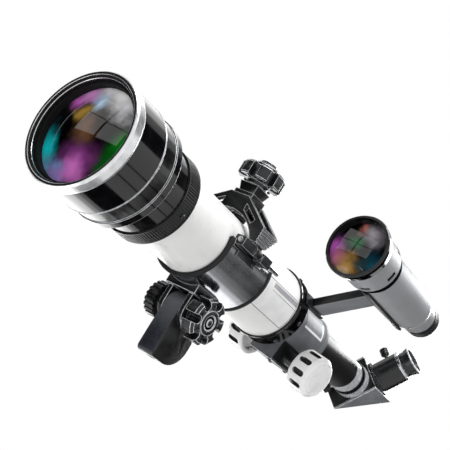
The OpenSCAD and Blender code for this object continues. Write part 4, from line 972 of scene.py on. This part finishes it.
class REFRACTOR_OT_stage(bpy.types.Operator):
    """Makes the floor, the lamps, the white surroundings and the camera"""

    bl_idname = "refractor.stage"
    bl_label = "Stage"

    def execute(self, context):
        scene = context.scene
        stage = scene.refractor_stage
        scene.view_settings.view_transform = "Standard"
        self.floor(stage)
        self.surroundings(scene, stage)
        self.lamp("key_lamp", stage.key, (0.7, 0.5), (0.2, -0.1, 0.95))
        self.lamp("low_lamp", stage.low, (0.6, 0.6), (-0.25, -0.35, -0.5))
        self.lamp("side_lamp", stage.side, (0.6, 0.6), (0.9, 0.1, 0.05)).visible_glossy = False
        self.lamp("front_lamp", stage.front, (0.6, 0.6), (0.05, -0.9, 0.15)).visible_glossy = False
        window, across = Vector((-0.67, -1.0, 0.5)), Vector((0.75, -0.66, 0))
        for step in (-0.19, 0.19):
            for up in (-0.1, 0.1):
                place = window + across * step + Vector((0, 0, up))
                self.lamp("window_pane", stage.window, (0.35, 0.18), place)
        self.screens()
        self.camera(scene)
        return {"FINISHED"}

    @staticmethod
    def seen_white(tree, plain, white):
        """White where the camera, a reflection or a refraction looks, and the plain shader elsewhere."""
        path = add(tree, "ShaderNodeLightPath").outputs
        seen = path["Is Camera Ray"]
        for ray in ("Is Glossy Ray", "Is Transmission Ray"):
            seen = add(tree, "ShaderNodeMath", {"operation": "MAXIMUM"}, {0: seen, 1: path[ray]}).outputs[0]
        mixed = add(tree, "ShaderNodeMixShader", None, {0: seen, 1: plain.outputs[0], 2: white.outputs[0]})
        return mixed.outputs[0]

    def floor(self, stage):
        half, z = 6.0, -stage.floor_drop
        mesh = bpy.data.meshes.new("floor")
        corners = [(-half, -half, z), (half, -half, z), (half, half, z), (-half, half, z)]
        mesh.from_pydata(corners, [], [(0, 1, 2, 3)])
        # Matt pale paper
        tree, shader, _ = start("pale_floor", Base_Color=linear("#f2f2f2"), Roughness=0.9)
        white = add(tree, "ShaderNodeEmission", {"Color": (1, 1, 1, 1), "Strength": 1.0})
        tree.links.new(self.seen_white(tree, shader, white), tree.nodes["Material Output"].inputs["Surface"])
        floor = stand("floor", mesh, ("pale_floor",))
        floor.visible_glossy = False

    def surroundings(self, scene, stage):
        world = bpy.data.worlds.new("white_studio")
        world.use_nodes = True
        scene.world = world
        tree = world.node_tree
        sky = tree.nodes["Background"]
        sky.inputs["Color"].default_value = (1, 1, 1, 1)
        sky.inputs["Strength"].default_value = stage.sky
        white = add(tree, "ShaderNodeBackground", {"Color": (1, 1, 1, 1), "Strength": 1.0})
        tree.links.new(self.seen_white(tree, sky, white), tree.nodes["World Output"].inputs["Surface"])

    @staticmethod
    def screens():
        """Far screens that give gloss and metal their dark and bright bands."""
        far, turns, slants = 3.0, 32, 8
        glows = sorted({patch[2] for screen in SCREENS for patch in screen[3]})
        bm = bmesh.new()
        for way, t0, t1, patches in SCREENS:
            for a0, a1, glow in patches:
                rows = []
                for a in range(turns + 1):
                    turn = math.radians(a0 + (a1 - a0) * a / turns)
                    row = []
                    for t in range(slants + 1):
                        slant = math.radians(t0 + (t1 - t0) * t / slants)
                        side = math.sin(slant)
                        reach = Vector((side * math.cos(turn), way * math.cos(slant), side * math.sin(turn)))
                        row.append(bm.verts.new(OPTICAL_AXIS[0] + reach * far))
                    rows.append(row)
                for one, two in zip(rows, rows[1:]):
                    for t in range(slants):
                        face = bm.faces.new((one[t], one[t + 1], two[t + 1], two[t]))
                        face.material_index = glows.index(glow)
        # Black velvet, which sends back nothing, and panels lit from behind
        for glow in glows:
            start("screen_%g" % glow, Base_Color=linear("#020202"), Roughness=1.0, Specular_IOR_Level=0.0,
                  Emission_Color=(1, 1, 1, 1), Emission_Strength=glow)
        made = poured("studio_screens", bm, ["screen_%g" % glow for glow in glows])
        made.visible_camera = made.visible_diffuse = made.visible_shadow = False
        made.visible_transmission = made.visible_volume_scatter = False

    @staticmethod
    def lamp(name, watts, size, place):
        """A rectangular lamp that looks at the middle of the tube. Its size and place are in metres."""
        light = bpy.data.lights.new(name, "AREA")
        light.energy, light.shape = watts, "RECTANGLE"
        light.size, light.size_y = size
        made = bpy.data.objects.new(name, light)
        made.location = place
        made.rotation_mode = "QUATERNION"
        aim = Vector((0, 0.03, AXIS_Z))
        made.rotation_quaternion = (aim - Vector(place)).to_track_quat("-Z", "Y")
        made.visible_camera = False
        bpy.context.scene.collection.objects.link(made)
        return made

    @staticmethod
    def camera(scene):
        """The camera, rolled as in the photograph, with its place and axes fitted to the tube's ellipses."""
        place = Vector((0.5644, -0.6784, AXIS_Z - 0.15143))
        across = Vector((0.71747, 0.47197, 0.51233))
        up = Vector((-0.29346, -0.46225, 0.83679))
        back = Vector((0.63176, -0.75071, -0.19315))
        data = bpy.data.cameras.new("camera")
        data.lens, data.sensor_width = 96.46, 36
        data.clip_start, data.clip_end = 0.05, 50
        made = bpy.data.objects.new("camera", data)
        turn = Matrix((across, up, back)).transposed().to_4x4()
        made.matrix_world = Matrix.Translation(place) @ turn
        scene.collection.objects.link(made)
        scene.camera = made


OPERATORS = (
    REFRACTOR_OT_finishes,
    REFRACTOR_OT_lens_end,
    REFRACTOR_OT_tube,
    REFRACTOR_OT_focuser,
    REFRACTOR_OT_drawtube,
    REFRACTOR_OT_diagonal,
    REFRACTOR_OT_finder,
    REFRACTOR_OT_cradle,
    REFRACTOR_OT_foot,
    REFRACTOR_OT_stage,
)
GROUPS = {
    "refractor_colours": RefractorColours,
    "refractor_sizes": RefractorSizes,
    "refractor_stage": RefractorStage,
}


class REFRACTOR_PT_panel(bpy.types.Panel):
    """Lists the refractor's pieces and settings"""

    bl_idname = "REFRACTOR_PT_panel"
    bl_label = "Refractor"
    bl_space_type = "VIEW_3D"
    bl_region_type = "UI"
    bl_category = "Refractor"

    def draw(self, context):
        for operator in OPERATORS:
            self.layout.operator(operator.bl_idname)
        for name, group in GROUPS.items():
            for key in group.__annotations__:
                self.layout.prop(getattr(context.scene, name), key)


def register():
    for name, group in GROUPS.items():
        bpy.utils.register_class(group)
        setattr(bpy.types.Scene, name, PointerProperty(type=group))
    for cls in OPERATORS + (REFRACTOR_PT_panel,):
        bpy.utils.register_class(cls)


def unregister():
    for cls in reversed(OPERATORS + (REFRACTOR_PT_panel,)):
        bpy.utils.unregister_class(cls)
    for name, group in GROUPS.items():
        delattr(bpy.types.Scene, name)
        bpy.utils.unregister_class(group)


def main():
    register()
    bpy.ops.refractor.finishes()
    bpy.ops.refractor.lens_end()
    bpy.ops.refractor.tube()
    bpy.ops.refractor.focuser()
    bpy.ops.refractor.drawtube()
    bpy.ops.refractor.diagonal()
    bpy.ops.refractor.finder()
    bpy.ops.refractor.cradle()
    bpy.ops.refractor.foot()
    bpy.ops.refractor.stage()


if __name__ == "__main__":
    main()
